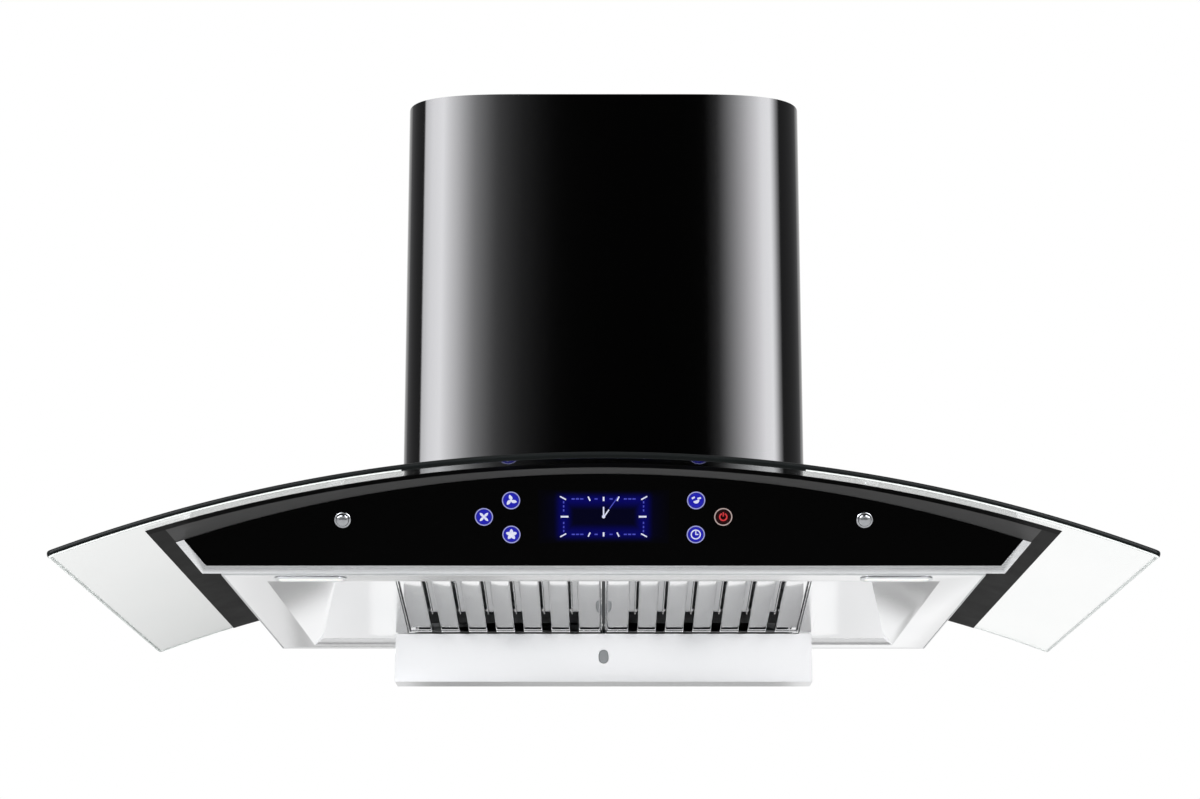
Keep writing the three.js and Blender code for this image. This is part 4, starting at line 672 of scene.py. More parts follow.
def ink(name, colour, dull, bright):
    """Ceramic ink, a fired black glaze: cloudy in patches of 30 mm, in grains of 0.5 mm."""
    made, tree, place = material(name)
    grain = add(tree, "TexNoise", {"Vector": place, "Scale": 2000.0, "Detail": 1.0})
    patch = add(tree, "TexNoise", {"Vector": place, "Scale": 1000 / 30, "Detail": 2.0})
    both = add(tree, "Math", {0: grain, 1: patch}, operation="ADD")
    spread = {"Value": both, "From Min": 0.7, "From Max": 1.3, "To Min": dull, "To Max": bright}
    glaze = {
        "Base Color": linear(colour),
        "Roughness": add(tree, "MapRange", spread),
        "Specular IOR Level": 0.015,
    }
    add(tree, "OutputMaterial", {"Surface": add(tree, "BsdfPrincipled", glaze)})
    return made


# The main coat, the denser line along its front, and a flat grey band laid under the front of
# the coat, drawn with the same glaze settings in grey.
ink_dark = ink("fired_ceramic_ink", "#161616", 0.5, 0.4)
ink_black = ink("dense_ceramic_ink", "#040404", 0.55, 0.45)
front_band_grey = ink("front_band_flat_grey", "#404040", 0.5, 0.4)
print_edge = GLASS_DEPTH - PRINT_MARGIN
border_start = print_edge - PRINT_BORDER
for name, shade, layer, half, near, far, notch in (
    ("glass_print", ink_dark, 0, PRINT_HALF, GLASS_BACK + 1, border_start, NOTCH_HALF),
    ("glass_print_border", ink_black, 0, PRINT_HALF, border_start, print_edge, 0),
    ("glass_front_grey_band", front_band_grey, 1, BAND_HALF, BAND_START, border_start, 0),
):
    mesh = print_mesh(name, half, near, far, notch, layer)
    piece(name, mesh, shade, "root")

# ---- Glass screws and gasket -------------------------------------------------------------------
# A soft rubber strip lies between glass and canopy round the throat, and four round-headed zinc
# screws with a hexagon socket hold the glass down inside the chimney's foot.

SCREW_ACROSS = 174
SCREW_DEPTHS = {"rear": 40, "front": 225}
SCREW_HEAD = 5.5
SCREW_DOME = 3
SCREW_SHANK = 2.4
SCREW_REACH = 12
SOCKET = 2.3
SOCKET_LIP = 1.15
SOCKET_FLATS = 0.866
SOCKET_DEPTH = 1.6
SCREW_LIFT = 0.35
SIDES = (("left", -1), ("right", 1))


def turned(name, profile, sides):
    """A turned form about +Z: each (radius, height) of the profile is carried round the axis."""
    around = np.linspace(0, 2 * math.pi, sides, endpoint=False)[:, None]
    radius, height = np.array(profile, float).T
    points = points_of(radius * np.cos(around), radius * np.sin(around), height)
    return grid_mesh(name, np.concatenate([points, points[:1]]))


def screw_mesh(name):
    """A domed head, an ellipse's quarter (r * sin t, rise * cos t), over a plain shank that ends
    in a small cone. The socket's wall is a hexagon, 1 / cos(a) about each flat's middle."""
    turn = np.linspace(0, math.pi / 2, 9)
    crown = points_of(SCREW_HEAD * np.sin(turn), SCREW_DOME * np.cos(turn))
    outside = [point for point in crown.tolist() if point[0] > SOCKET * SOCKET_LIP]
    shank = [
        [SCREW_HEAD - 0.3, -0.1], [SCREW_SHANK, -0.1], [SCREW_SHANK, 1 - SCREW_REACH],
        [SCREW_SHANK - 1, -SCREW_REACH], [0, -SCREW_REACH],
    ]
    lip, mouth = outside[0]
    body = turned(name, outside + shank, 36)
    turn = np.radians(np.arange(0, 361, 10))
    hexagon = SOCKET / np.cos((turn + math.pi / 6) % (math.pi / 3) - math.pi / 6) * SOCKET_FLATS
    floor = mouth - SOCKET_DEPTH
    rings = [
        points_of(radius * np.cos(turn), radius * np.sin(turn), height)
        for radius, height in ((lip, mouth), (hexagon, mouth), (hexagon, floor), (0, floor))
    ]
    return welded(name, body, grid_mesh(name, np.stack(rings)))


def moved(mesh, matrix, shift):
    """The mesh with every point turned by a matrix and moved by a shift in mm."""
    flat = np.empty(len(mesh.vertices) * 3)
    mesh.vertices.foreach_get("co", flat)
    points = flat.reshape(-1, 3) @ np.array(matrix, float).T + np.array(shift, float) * MM
    mesh.vertices.foreach_set("co", points.ravel())
    mesh.update()
    return mesh


# Bright zinc plate, thin over turned steel, with a bluish cast and a mottle 0.6 mm across.
plated = speckled(
    "bright_zinc_plate", 0.6, ("#B6BCC2", "#D5DADF"), (0.28, 0.16), {"Metallic": 1.0}
)
screw_angle = math.asin(SCREW_ACROSS / (GLASS_RADIUS - GLASS_THICKNESS))
seat = GLASS_RADIUS + SCREW_LIFT
for side, sign in SIDES:
    tilt = sign * screw_angle
    across, up = math.sin(tilt), math.cos(tilt)
    lean = [[up, 0, across], [0, 1, 0], [-across, 0, up]]
    for end, depth in SCREW_DEPTHS.items():
        node = f"glass_screw_{end}_{side}"
        screw = moved(screw_mesh(node), lean, on_arc(seat, tilt, depth))
        stand_in(node, f"socket_screw_{end}_{side}", screw, plated)


def moulded(name, colour, grain, dull, bright):
    """Moulded plastic or rubber: one colour with a fine spark-eroded grain, given in mm, seen in
    the roughness and as tiny pits, and a slow drift of tone along the flow of the moulding."""
    made, tree, place = material(name)
    pits = add(tree, "TexNoise", {"Vector": place, "Scale": 1000 / grain, "Detail": 2.0})
    drift = add(tree, "TexNoise", {"Vector": place, "Scale": 20.0, "Detail": 1.0})
    deep, pale = [
        (*(min(value * share, 1) for value in linear(colour)[:3]), 1) for share in (0.88, 1.12)
    ]
    skin = {
        "Base Color": add(tree, "Mix", {"Factor": drift, "A": deep, "B": pale}, data_type="RGBA"),
        "Roughness": add(tree, "MapRange", {"Value": pits, "To Min": dull, "To Max": bright}),
        "Normal": add(tree, "Bump", {"Height": pits, "Strength": 0.3, "Distance": 0.00003}),
    }
    add(tree, "OutputMaterial", {"Surface": add(tree, "BsdfPrincipled", skin)})
    return made


rubber = moulded("extruded_black_rubber", "#17181A", 0.4, 0.85, 0.7)
eased("glass_gasket", "glass_gasket_strip", rubber, 0.3)

# ---- Control panel -----------------------------------------------------------------------------
# A trapezoid of 4 mm black glass, leaning out at the top, in a satin steel rim along its foot and
# ends. Behind it are touch boards and a lit display, which show through as a clock face and six
# ring-shaped buttons. Two chromed caps cover the screws that hold it.

PANEL_FOOT = 388
PANEL_LEAN = math.atan(0.5)
CAP_ACROSS = 219
CAP_UP = 47
CAP_RADIUS = 7
BUTTON_RADIUS = 7.6
DISPLAY_MIDDLE = 49.5
DISPLAY_HALF_WIDTH = 55
DISPLAY_HALF_HEIGHT = 23
TICK_X = 33.5
TICK_V = 15.3
TICK_WIDTH = 1.1
HALO_REACH = 9
DISC = 0.001
WINDOW_FADE = 0.62
HALO_EBB = 0.08
PRINT_LIFT = 0.06
PRINT_DEPTH = 0.1

across_axis = np.array([1.0, 0, 0])
slope_axis = np.array([0, -math.sin(PANEL_LEAN), math.cos(PANEL_LEAN)])
out_axis = np.array([0, -math.cos(PANEL_LEAN), -math.sin(PANEL_LEAN)])
panel_axes = np.stack([across_axis, slope_axis, out_axis], axis=1)
panel_origin = [0, -PANEL_FOOT, RIM_Z]


def normals_along(path):
    """The unit normals of a path of (x, y) points: its direction at each, turned left."""
    way = np.gradient(path, axis=0)
    way /= np.linalg.norm(way, axis=1)[:, None]
    return points_of(-way[:, 1], way[:, 0])


def ribbon(path, width):
    """The outline of a stroke of even width with square ends: each point of the path moves half
    the width to both sides, along the path's normal there."""
    path = np.array(path, float)
    side = normals_along(path) * width / 2
    return np.stack([path - side, path + side])


def ring(middle, inner, outer, start=0, end=360):
    """A flat ring or arc as two rows of points, inner and outer, between two angles."""
    turn = np.radians(np.linspace(start, end, max(8, round((end - start) / 7.5)) + 1))
    way = points_of(np.cos(turn), np.sin(turn))
    return np.stack([way * inner, way * outer]) + np.array(middle, float)


def petal(middle, angle, reach, width, sweep=0.0):
    """A fan blade or petal from the middle outwards: half-width w * sin(pi * s)^0.7 along s, its
    centre line bent sideways by sweep * s^2."""
    s = np.linspace(0, 1, 11)
    half = width / 2 * np.clip(np.sin(math.pi * np.clip(s, 0.02, 0.98)), 0, 1) ** 0.7
    centre = sweep * reach * s ** 2
    along, cross = math.radians(angle), math.radians(angle + 90)
    out = np.array([math.cos(along), math.sin(along)])
    off = np.array([math.cos(cross), math.sin(cross)])
    line = np.array(middle, float) + np.outer(s * reach, out)
    return np.stack([line + np.outer(centre - half, off), line + np.outer(centre + half, off)])


def lit_print(name, strips, shade, level=0):
    """Strips, each two rows of panel points (2, n, 2), as thin raised closed plates on the
    panel's face. level lifts one print over another by its own thickness."""
    plates = []
    base = PRINT_LIFT + level * PRINT_DEPTH
    for strip in strips:
        low = points_of(strip[..., 0], strip[..., 1], base)
        high = low + [0, 0, PRINT_DEPTH]
        section = np.stack([low[0], low[1], high[1], high[0]], axis=1)
        plates.append(grid_mesh(name, section, wrap=True, caps=True))
    mesh = moved(welded(name, *plates), panel_axes, panel_origin)
    return piece(name, mesh, shade, "root")


def light(name, colour, core, strength):
    """A lit print: its light runs between two tones in spots 2 mm wide, as over LEDs."""
    lit = {
        "Base Color": linear("#050505"),
        "Specular IOR Level": 0.02,
        "Emission Strength": strength,
    }
    return speckled(name, 2, (colour, core), 0.3, lit, None, 1.0, "Emission Color")


lit_blue = light("lit_blue_button", "#1B1AA8", "#2A2CC4", 0.85)
lit_ring = light("lit_pale_ring", "#8E90D8", "#B4B6EC", 0.9)
lit_white = light("lit_white_symbol", "#C8CEFF", "#FFFFFF", 0.9)
lit_red = light("lit_red_symbol", "#C02A30", "#E0484C", 1.0)
lit_warm = light("lit_warm_ring", "#A08C88", "#C8B4B0", 1.0)
lit_faint = light("lit_faint_tick", "#3A3ECF", "#6A70E8", 0.7)
dark_core = light("dark_button", "#1A0406", "#240608", 1.0)

# Display glass lit from behind: deep blue in a halo 9 mm wide round the frame of ticks, darker
# within it, and fading out to black where the tinted window ends.
glow, tree, place = material("display_glow")
upright = math.cos(PANEL_LEAN)
to_middle = (0, 0, -(RIM_Z + DISPLAY_MIDDLE * upright) * MM)
centred = add(tree, "VectorMath", {0: place, 1: to_middle}, operation="ADD")
parts = add(tree, "SeparateXYZ", {"Vector": centred})
fades = []
inner = []
for axis, reach, tick in (
    ("X", DISPLAY_HALF_WIDTH, TICK_X),
    ("Z", DISPLAY_HALF_HEIGHT * upright, TICK_V * upright),
):
    size = add(tree, "Math", {0: parts.outputs[axis]}, operation="ABSOLUTE")
    edge = {
        "Value": size,
        "From Min": reach * WINDOW_FADE * MM,
        "From Max": reach * MM,
        "To Min": 1.0,
        "To Max": 0.0,
    }
    fades.append(add(tree, "MapRange", edge, interpolation_type="SMOOTHSTEP"))
    inner.append(add(tree, "Math", {0: size, 1: tick * MM}, operation="SUBTRACT"))
both = add(tree, "Math", dict(enumerate(fades)), operation="MULTIPLY")
outside = add(tree, "Math", dict(enumerate(inner)), operation="MAXIMUM")
from_ticks = add(tree, "Math", {0: outside}, operation="ABSOLUTE")
ebb = {"Value": from_ticks, "From Max": HALO_REACH * MM, "To Min": 1.0, "To Max": HALO_EBB}
halo = add(tree, "MapRange", ebb, interpolation_type="SMOOTHSTEP")
level = add(tree, "Math", {0: both, 1: halo}, operation="MULTIPLY")
blues = {"Factor": level, "A": linear("#000003"), "B": linear("#04045C")}
lit_glass = {
    "Base Color": linear("#020203"),
    "Roughness": 0.08,
    "Specular IOR Level": 0.012,
    "Emission Color": add(tree, "Mix", blues, data_type="RGBA"),
    "Emission Strength": 1.0,
}
add(tree, "OutputMaterial", {"Surface": add(tree, "BsdfPrincipled", lit_glass)})
window = [
    [[side * DISPLAY_HALF_WIDTH, DISPLAY_MIDDLE + end * DISPLAY_HALF_HEIGHT] for side in (-1, 1)]
    for end in (-1, 1)
]
lit_print("display_window", [np.array(window, float)], glow, -1)

middle = DISPLAY_MIDDLE
ticks = []
faint = []
for side in (-1, 1):
    column = side * TICK_X
    ticks.append(ribbon([(side * (TICK_X - 4), middle), (side * (TICK_X + 2.5), middle)], 1.5))
    for end in (-1, 1):
        row = middle + end * TICK_V
        corner = [(side * (TICK_X - 2), row - end * 0.6), (side * (TICK_X + 3), row + end * 2.2)]
        slant = [(side * 11.3, row - end * 1.6), (side * 13, row + end * 2)]
        ticks += [ribbon(corner, TICK_WIDTH), ribbon(slant, TICK_WIDTH)]
        flat = [[(side * x, row), (side * (x + 2.6), row)] for x in (5, 17, 20.6, 24.2)]
        tall = [
            [(column, middle + end * v), (column, middle + end * (v + 1.8))]
            for v in (4.5, 8, 11.5)
        ]
        faint += [ribbon(path, TICK_WIDTH) for path in flat + tall]
for end in (-1, 1):
    row = middle + end * TICK_V
    ticks.append(ribbon([(0, row - 1.8), (0, row + 1.8)], 1.4))
hands = [
    ribbon([(0, middle - 0.5), (0, middle + 8.5)], 1.2),
    ribbon([(0.6, middle + 0.3), (4.5, middle + 6)], TICK_WIDTH),
    ring((0, middle), DISC, 1.4),
]
lit_print("clock_ticks", ticks + hands, lit_white)
faint.append(ribbon([(5, middle + 7), (12, middle + 17)], 0.8))
lit_print("clock_faint_ticks", faint, lit_faint)

BUTTONS = {
    "left_upper": (-77.5, 63.5),
    "left_outer": (-100.4, 49.3),
    "left_lower": (-77.5, 34.1),
    "right_upper": (77.5, 63.5),
    "right_outer": (100.4, 49.3),
    "right_lower": (77.5, 34.1),
}
power = BUTTONS["right_outer"]
others = [middle for name, middle in BUTTONS.items() if name != "right_outer"]
for disc_name, ring_name, middles, disc_shade, ring_shade in (
    ("button_discs", "button_rings", others, lit_blue, lit_ring),
    ("power_disc", "power_ring", [power], dark_core, lit_warm),
):
    discs = [ring(middle, DISC, BUTTON_RADIUS - 1.2) for middle in middles]
    rims = [ring(middle, BUTTON_RADIUS - 0.9, BUTTON_RADIUS) for middle in middles]
    lit_print(disc_name, discs, disc_shade)
    lit_print(ring_name, rims, ring_shade)
symbols = [petal(BUTTONS["left_upper"], angle, 4.8, 3.0, 0.25) for angle in (90, 210, 330)]
symbols += [petal(BUTTONS["left_outer"], angle, 4.9, 2.2) for angle in (45, 135, 225, 315)]
symbols += [petal(BUTTONS["left_lower"], angle, 4.7, 3.0) for angle in (90, 162, 234, 306, 18)]
lamp_x, lamp_v = BUTTONS["right_upper"]
clock_x, clock_v = BUTTONS["right_lower"]
symbols += [
    ring((lamp_x, lamp_v), DISC, 2.6, 200, 380),
    ribbon([(lamp_x - 3.6, lamp_v + 1.6), (lamp_x - 1.2, lamp_v + 2.9)], 1.5),
    ribbon([(lamp_x + 1.0, lamp_v + 1.5), (lamp_x + 4.0, lamp_v + 2.2)], 1.5),
    ring((clock_x, clock_v), 3.3, 4.3),
    ribbon([(clock_x, clock_v - 0.4), (clock_x, clock_v + 2.9)], 0.9),
    ribbon([(clock_x - 0.4, clock_v), (clock_x + 2.2, clock_v)], 0.9),
]
lit_print("button_symbols", symbols, lit_white, 1)
switch = [
    ring(power, 2.4, 3.6, 115, 425),
    ribbon([(power[0], power[1] + 0.4), (power[0], power[1] + 4.0)], TICK_WIDTH),
]
lit_print("power_symbol", switch, lit_red, 1)

# Back-painted black glass: a clear hard face over an even black coat, with a film of fine dust in
# specks 1.5 mm apart.
panel_glass = speckled(
    "back_painted_glass", 1.5, ("#010101", "#030303"), (0.03, 0.08), {"Specular IOR Level": 0.012}
)
eased("control_glass", "control_panel_glass", panel_glass, 0.5, 25)
eased("panel_trim_frame", "panel_rim", satin_steel, 0.5, 25)

# Bright chrome plate, mirror smooth under faint wipe marks 3 mm across. Each cap is a low dome
# with a shoulder and a bead round the foot, on a plain shank.
chrome = speckled(
    "bright_chrome_plate", 3, ("#8F9194", "#A9ABAE"), (0.06, 0.16), {"Metallic": 1.0}
)
cap_profile = [
    [0, 4.0], [2.2, 3.95], [4.0, 3.6], [5.0, 3.0], [5.3, 2.3], [5.6, 2.0], [6.4, 1.9],
    [6.9, 1.5], [CAP_RADIUS, 0.9], [6.9, 0.3], [SCREW_SHANK, 0.3], [SCREW_SHANK, -7], [0, -7],
]
for side, sign in SIDES:
    node = f"panel_cap_{side}"
    cap = welded(node, turned("cap", cap_profile, 48))
    place = panel_axes @ np.array([sign * CAP_ACROSS, CAP_UP, 0]) + panel_origin
    stand_in(node, f"chrome_cap_{side}", moved(cap, panel_axes, place), chrome)

# Circuit board: green solder resist over copper tracks about 1.5 mm apart.
board, tree, place = material("solder_resist_board")
tracks = {
    "Vector": place,
    "Scale": 1000 / 6,
    "Mortar Size": 0.12,
    "Color1": linear("#1C5638"),
    "Color2": linear("#226341"),
    "Mortar": linear("#3C7F56"),
}
resist = {"Base Color": add(tree, "TexBrick", tracks), "Roughness": 0.4}
add(tree, "OutputMaterial", {"Surface": add(tree, "BsdfPrincipled", resist)})
black_plastic = moulded("moulded_black_abs", "#1A1B1D", 0.5, 0.6, 0.45)
grey_plastic = moulded("moulded_grey_abs", "#85888A", 0.5, 0.55, 0.4)
white_plastic = moulded("moulded_white_abs", "#ECECE8", 0.5, 0.5, 0.35)
eased("display_module", "display_block", black_plastic, 0.2)
eased("touch_board_left", "touch_circuit_left", board, 0.1)
eased("touch_board_right", "touch_circuit_right", board, 0.1)
eased("control_box", "control_case", black_plastic, 0.3)
eased("control_board", "control_circuit", board, 0.1)

# ---- Lamps -------------------------------------------------------------------------------------
# Two recessed lamps clip into oblong holes in the front flange: a satin steel bezel with round
# ends and a frosted lens, fed by a white driver that stands on the flange behind the panel.

LAMP_ACROSS = 250
LAMP_DEPTH = 367
LAMP_LENGTH = 62
LAMP_WIDTH = 17


def oblong_rings(levels, middle):
    """The rings of a solid with an oblong plan: the outline, two half circles joined by
    straights, drawn once for each (inset, height)."""
    turn = np.radians(np.linspace(-90, 270, 73)[:-1])
    reach = (LAMP_LENGTH - LAMP_WIDTH) / 2
    side = np.where(np.arange(72) < 37, reach, -reach)
    rings = []
    for inset, height in levels:
        radius = LAMP_WIDTH / 2 - inset
        x, y = middle[0] + side + radius * np.cos(turn), middle[1] + radius * np.sin(turn)
        rings.append(points_of(x, y, RIM_Z + height))
    return np.stack(rings)


# Frosted polycarbonate: milky, with a fine sandblasted grain 0.3 mm across that spreads the light.
frosted = speckled(
    "frosted_lens", 0.3, ("#E4E4E0", "#F4F4F0"), 0.45,
    {"Subsurface Weight": 0.2, "Subsurface Scale": 0.002}, (0.2, 0.00003),
)
bezel_levels = [
    (0.4, -0.3), (0, -0.5), (0, -1.0), (0.5, -1.5), (1.0, -1.6), (2.4, -1.6), (2.9, -1.2),
    (3.0, -0.6), (3.0, 14), (1.3, 14.5), (1.3, -0.3),
]
lens_levels = [(3.3, 1.6), (3.3, -0.9), (3.6, -1.25), (4.2, -1.3)]
for side, sign in SIDES:
    middle = (sign * LAMP_ACROSS, -LAMP_DEPTH)
    rings = oblong_rings(bezel_levels, middle)
    closed = np.concatenate([rings, rings[:1]])
    bezel = welded(f"lamp_bezel_{side}", grid_mesh("bezel", closed, wrap=True))
    stand_in(f"lamp_housing_{side}", f"lamp_bezel_{side}", bezel, satin_steel)
    diffuser = grid_mesh("lens", oblong_rings(lens_levels, middle), wrap=True, caps=True)
    stand_in(f"lamp_lens_{side}", f"lamp_window_{side}", welded("lens", diffuser), frosted)
eased("light_driver", "lamp_driver", white_plastic, 0.8)

# ---- Baffle filters ----------------------------------------------------------------------------
# Two filters side by side, each a folded frame of polished stainless with seven channels below
# and six upside-down channels above the gaps. Air turns twice round them and leaves its grease.
# Each hangs on two pins at the wall, either side of a divider strip, and is held in front by a
# spring bolt beside a bail handle. The strip is drawn in black plastic as painted shade, for the
# dark line of shadow along its edge between the filters.

FILTER_PIVOT_DEPTH = 50
FILTER_PIVOT_HEIGHT = 16.69
FILTER_SLOPE = math.atan(0.16)
FILTER_NEAR = 1.6
FILTER_WIDTH = 191.8
SLAT_COUNT = 7
SLAT_PITCH = FILTER_WIDTH / SLAT_COUNT
SLAT_SHEET = 0.9
SLAT_BEND = 1.1
SLAT_WIDTH = 18.8
FRAME_SIDE = 1.5
SLAT_SIDE = 4.5
SLAT_FRONT = -198.5
SLAT_REAR = 12.5
SLAT_FLOOR = -4.0
UPPER_WIDTH = 8.6
UPPER_SHIFT = 2
UPPER_SIDE = 3.2
UPPER_TOP = 5.2
UPPER_REAR = -23
LOWER_BAR = 2.5
UPPER_BAR = 8
BAR_SINK = 0.05
BAR_SHEET = 0.8
BAIL_WIDTH = 70
BAIL_DROP = 11
BAIL_TOP = -5.8
BAIL_REAR = -218
BAIL_DEPTH = 10
BAIL_SHEET = 1.5
BAIL_BEND = 3
BAIL_FOOT = 12

filter_lean = [
    [1, 0, 0],
    [0, math.cos(FILTER_SLOPE), math.sin(FILTER_SLOPE)],
    [0, -math.sin(FILTER_SLOPE), math.cos(FILTER_SLOPE)],
]
filter_place = [0, -FILTER_PIVOT_DEPTH, RIM_Z + FILTER_PIVOT_HEIGHT]


def thickened(path, normals, sheet):
    """The closed section of a bent sheet: its centre line moved half the sheet to both sides."""
    path, normals = np.array(path, float), np.array(normals, float)
    return np.concatenate([path + normals * sheet / 2, (path - normals * sheet / 2)[::-1]])


def channel(width, side, down=False):
    """Section of a folded channel: up one side, a quarter turn, the floor, a quarter turn and up
    the other side. down turns it over."""
    half = width / 2 - SLAT_SHEET / 2
    turn = np.linspace(0, math.pi / 2, 6)
    way = points_of(-np.cos(turn), -np.sin(turn))
    corner = np.array([SLAT_BEND - half, SLAT_SHEET / 2 + SLAT_BEND]) + way * SLAT_BEND
    mirror = np.array([-1, 1])
    path = np.concatenate([[[-half, side]], corner, (corner * mirror)[::-1], [[half, side]]])
    normals = np.concatenate([[[-1, 0]], way, (way * mirror)[::-1], [[1, 0]]])
    section = thickened(path, normals, SLAT_SHEET)
    return section * [1, -1] if down else section


def carried(name, section, stations):
    """A section of (across, up) points carried along the filter's own length, with both ends
    closed: each station is a distance from the pivot, towards the wall."""
    across, up = section.T
    rows = [points_of(across, far, up) for far in stations]
    return grid_mesh(name, np.stack(rows), wrap=True, caps=True)


def slab(across, along, up):
    """A plain bar between three pairs of limits in the filter's own directions."""
    (left, right), (low, high) = across, up
    section = [[left, low], [right, low], [right, high], [left, high]]
    return carried("slab", np.array(section, float), along)


def bail_section(middle):
    """A bent strap seen from the front: foot, down, across, up and foot again, with its corners
    rounded, as a centre line with normals. Each corner is a quarter circle."""
    half, low, bend = BAIL_WIDTH / 2 - 1, BAIL_TOP - BAIL_DROP + 1, BAIL_BEND
    high, foot = BAIL_TOP - BAIL_SHEET / 2, BAIL_WIDTH / 2 + BAIL_FOOT
    turn = np.linspace(0, math.pi / 2, 6)
    top = points_of(-half - bend + bend * np.sin(turn), high - bend + bend * np.cos(turn))
    top_way = points_of(np.sin(turn), np.cos(turn))
    base = points_of(-half + bend - bend * np.cos(turn), low + bend - bend * np.sin(turn))
    base_way = points_of(np.cos(turn), np.sin(turn))
    left = np.concatenate([[[-foot, high]], top, base])
    left_way = np.concatenate([[[0, 1]], top_way, base_way])
    mirror = np.array([-1, 1])
    path = np.concatenate([left, (left * mirror)[::-1]])
    way = np.concatenate([left_way, (left_way * mirror)[::-1]])
    return thickened(path, way, BAIL_SHEET) + [middle, 0]


# The divider's black is painted shade, for the shadowed edge of the strip between the filters.
eased("filter_divider", "filter_divider_shaded_strip", black_plastic, 0.25)
for side, sign in SIDES:
    eased(f"{side}_filter_frame", f"{side}_filter_rim", slat_steel, 0.3)
    lower = []
    upper = []
    for index in range(SLAT_COUNT):
        inset = (SLAT_PITCH - SLAT_WIDTH) / 2
        first, last = index == 0, index == SLAT_COUNT - 1
        start = FRAME_SIDE if first else SLAT_PITCH * index + inset
        end = FILTER_WIDTH - FRAME_SIDE if last else SLAT_PITCH * (index + 1) - inset
        middle = sign * (FILTER_NEAR + (start + end) / 2)
        section = channel(end - start, SLAT_SIDE) + [middle, SLAT_FLOOR]
        lower.append(carried("slat", section, np.linspace(SLAT_FRONT, SLAT_REAR, 5)))
    for index in range(SLAT_COUNT - 1):
        middle = sign * (FILTER_NEAR + SLAT_PITCH * (index + 1) - UPPER_SHIFT)
        section = channel(UPPER_WIDTH, UPPER_SIDE, True) + [middle, UPPER_TOP]
        upper.append(carried("slat", section, np.linspace(SLAT_FRONT, UPPER_REAR, 4)))
    inner, outer = FILTER_NEAR + FRAME_SIDE, FILTER_NEAR + FILTER_WIDTH - FRAME_SIDE
    across = (inner, outer) if sign > 0 else (-outer, -inner)
    low, high = SLAT_FLOOR + BAR_SINK, UPPER_TOP - BAR_SINK
    for start in (SLAT_FRONT, SLAT_REAR - LOWER_BAR):
        lower.append(slab(across, (start, start + LOWER_BAR), (low, low + BAR_SHEET)))
    for start in (SLAT_FRONT, UPPER_REAR - UPPER_BAR):
        upper.append(slab(across, (start, start + UPPER_BAR), (high - BAR_SHEET, high)))
    for name, parts_of, node in (
        (f"{side}_lower_slats", lower, f"{side}_lower_baffles"),
        (f"{side}_upper_slats", upper, f"{side}_upper_baffles"),
    ):
        mesh = moved(welded(name, *parts_of), filter_lean, filter_place)
        stand_in(node, name, mesh, slat_steel)
    middle = sign * (FILTER_NEAR + FILTER_WIDTH / 2)
    bail = carried("bail", bail_section(middle), np.linspace(BAIL_REAR - BAIL_DEPTH, BAIL_REAR, 3))
    bail = moved(welded(f"{side}_bail_handle", bail), filter_lean, filter_place)
    stand_in(f"{side}_filter_handle", f"{side}_bail_handle", bail, satin_steel)
    eased(f"{side}_filter_latch", f"{side}_spring_bolt", plated, 0.3)

# ---- Grease tray -------------------------------------------------------------------------------
# A long folded box of polished stainless under the filters' rear ends, with a grey level window
# in the middle of its face. It slides forward on two folded runners.

eased("grease_tray", "grease_tray_box", polished_steel, 0.5)
eased("tray_window", "level_window", grey_plastic, 0.4)
eased("tray_runner_left", "tray_slide_left", satin_steel, 0.25)
eased("tray_runner_right", "tray_slide_right", satin_steel, 0.25)

# ---- Blower ------------------------------------------------------------------------------------
# A galvanised box over the throat holds a spiral casing, a drum impeller with 24 curved blades
# and its motor on a three-armed bracket. The impeller turns on the motor's shaft.

BLOWER_X = -45
BLOWER_Z = 235
IMPELLER_FRONT = 186
IMPELLER_BACK = 78
IMPELLER_RADIUS = 85
BLADE_COUNT = 24
BLADE_CHORD = 14.5
BLADE_SHEET = 0.8
BLADE_SWING = 0.13
HOOP_WIDTH = 3
HUB_RADIUS = 14
SHAFT_HOLE = 4.3
axle_axes = [[1, 0, 0], [0, 0, -1], [0, 1, 0]]
axle_place = [BLOWER_X, 0, RIM_Z + BLOWER_Z]


def blade_mesh(index):
    """A blade bent to an arc, carried along the axle. Its section runs from the drum's inner to
    its outer radius while the angle swings by BLADE_SWING * sin(90 s)^1.5, in radians."""
    s = np.linspace(0, 1, 7)
    radius = IMPELLER_RADIUS - 1 - BLADE_CHORD * (1 - s)
    angle = 2 * math.pi * index / BLADE_COUNT + BLADE_SWING * np.sin(s * math.pi / 2) ** 1.5
    path = points_of(radius * np.cos(angle), radius * np.sin(angle))
    across, up = thickened(path, normals_along(path), BLADE_SHEET).T
    rows = [points_of(across, up, end) for end in (IMPELLER_BACK + 1, IMPELLER_FRONT - 1)]
    return grid_mesh("blade", np.stack(rows), wrap=True, caps=True)


impeller_inner = IMPELLER_RADIUS - BLADE_CHORD - 1
impeller_middle = (IMPELLER_FRONT + IMPELLER_BACK) / 2


def hoop(near, far):
    """A flat hoop round the blades' ends, as a closed turned section."""
    return turned(
        "hoop",
        [
            (impeller_inner, near), (IMPELLER_RADIUS, near), (IMPELLER_RADIUS, far),
            (impeller_inner, far), (impeller_inner, near),
        ],
        72,
    )


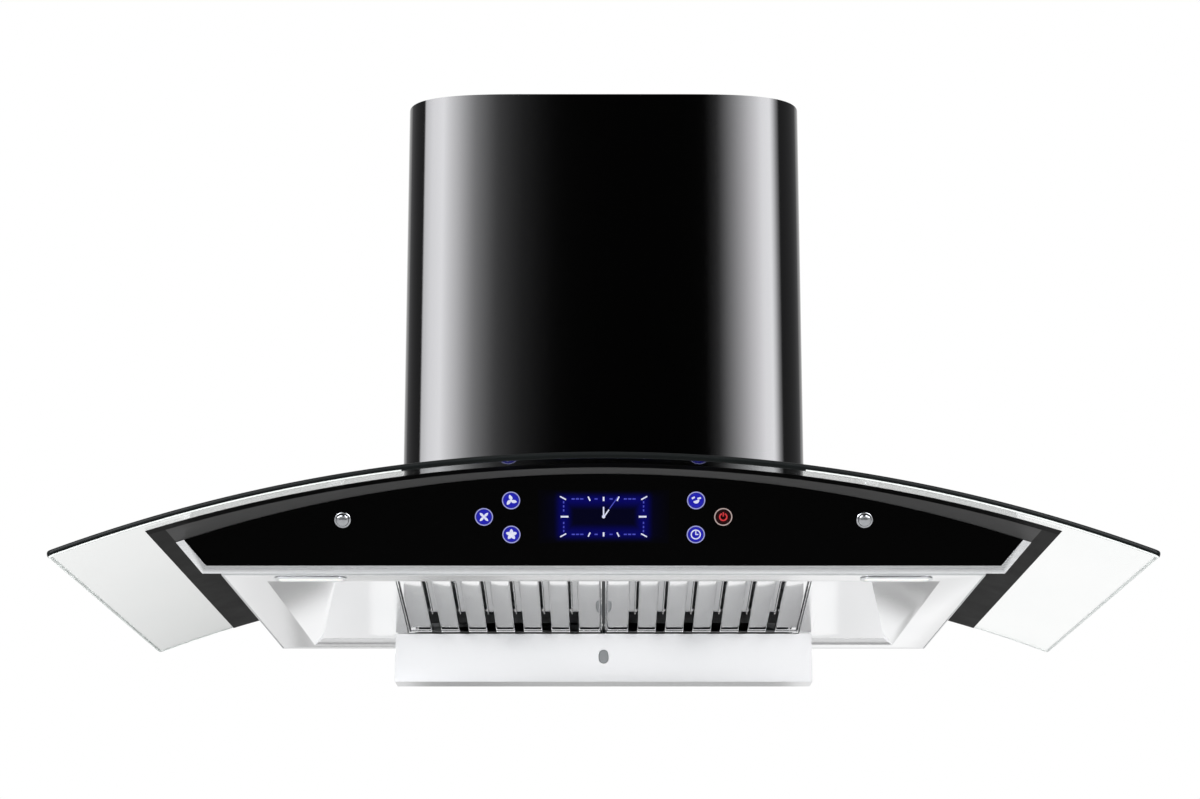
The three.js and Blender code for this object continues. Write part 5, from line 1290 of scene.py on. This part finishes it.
drum = [blade_mesh(index) for index in range(BLADE_COUNT)]
drum.append(hoop(IMPELLER_BACK, IMPELLER_BACK + HOOP_WIDTH))
drum.append(hoop(IMPELLER_FRONT - HOOP_WIDTH, IMPELLER_FRONT))
hub = [
    (SHAFT_HOLE, impeller_middle - 14), (HUB_RADIUS, impeller_middle - 14),
    (HUB_RADIUS, impeller_middle - 1), (IMPELLER_RADIUS - 1, impeller_middle - 1),
    (IMPELLER_RADIUS - 1, impeller_middle + 1), (HUB_RADIUS, impeller_middle + 1),
    (HUB_RADIUS, impeller_middle + 14), (SHAFT_HOLE, impeller_middle + 14),
    (SHAFT_HOLE, impeller_middle - 14),
]
drum.append(turned("hub", hub, 72))
drum_mesh = moved(welded("blower_drum", *drum), axle_axes, axle_place)
stand_in("impeller", "blower_drum", drum_mesh, zinc)
eased("blower_box", "blower_case", zinc, 0.4)
eased("volute_casing", "spiral_casing", zinc, 0.3)
eased("volute_front_plate", "spiral_front_plate", zinc, 0.3)
eased("motor", "blower_motor", black_plastic, 0.6)
eased("motor_bracket", "three_arm_bracket", zinc, 0.3)

# ---- Duct collar and flaps ---------------------------------------------------------------------
# A black moulded spigot for 150 mm duct, screwed to the blower box by its flange, with a bead
# near its mouth. Two half-round flaps on one steel pin drop shut against a back draught.

COLLAR_X = 31.553
COLLAR_DEPTH = 132
COLLAR_RADIUS = 75
COLLAR_FLOOR = 400.3
COLLAR_HEIGHT = 60
COLLAR_WALL = 1.2
collar_profile = [
    (COLLAR_RADIUS - COLLAR_WALL, 0), (COLLAR_RADIUS + 12.6, 0), (COLLAR_RADIUS + 13, 0.4),
    (COLLAR_RADIUS + 13, 1.1), (COLLAR_RADIUS + 12.6, 1.5), (COLLAR_RADIUS + 1.6, 1.5),
    (COLLAR_RADIUS + 0.4, 2.0), (COLLAR_RADIUS, 3.2), (COLLAR_RADIUS - 0.3, 44),
    (COLLAR_RADIUS, 44.6), (COLLAR_RADIUS, 46.6), (COLLAR_RADIUS - 0.3, 47.2),
    (COLLAR_RADIUS - 0.4, COLLAR_HEIGHT - 1), (COLLAR_RADIUS - 0.8, COLLAR_HEIGHT),
    (COLLAR_RADIUS - COLLAR_WALL, COLLAR_HEIGHT), (COLLAR_RADIUS - COLLAR_WALL, 0),
]
collar = moved(
    welded("duct_spigot", turned("duct_spigot", collar_profile, 96)),
    np.identity(3),
    [COLLAR_X, -COLLAR_DEPTH, RIM_Z + COLLAR_FLOOR],
)
stand_in("duct_collar", "duct_spigot", collar, black_plastic)
eased("flap_pin", "flap_hinge_pin", plated, 0.2)
eased("draught_flap_left", "flap_left", grey_plastic, 0.2)
eased("draught_flap_right", "flap_right", grey_plastic, 0.2)

# ---- Electrics on the blower box ---------------------------------------------------------------
# A black junction box with a nylon cable gland, through which the supply comes in, and the
# motor's capacitor in a white can. They stand on top of the box, hidden by the chimney.

eased("junction_box", "terminal_box", black_plastic, 1.5)
eased("cable_gland", "nylon_gland", black_plastic, 0.4)
eased("capacitor", "motor_capacitor", white_plastic, 1.0)

low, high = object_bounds()
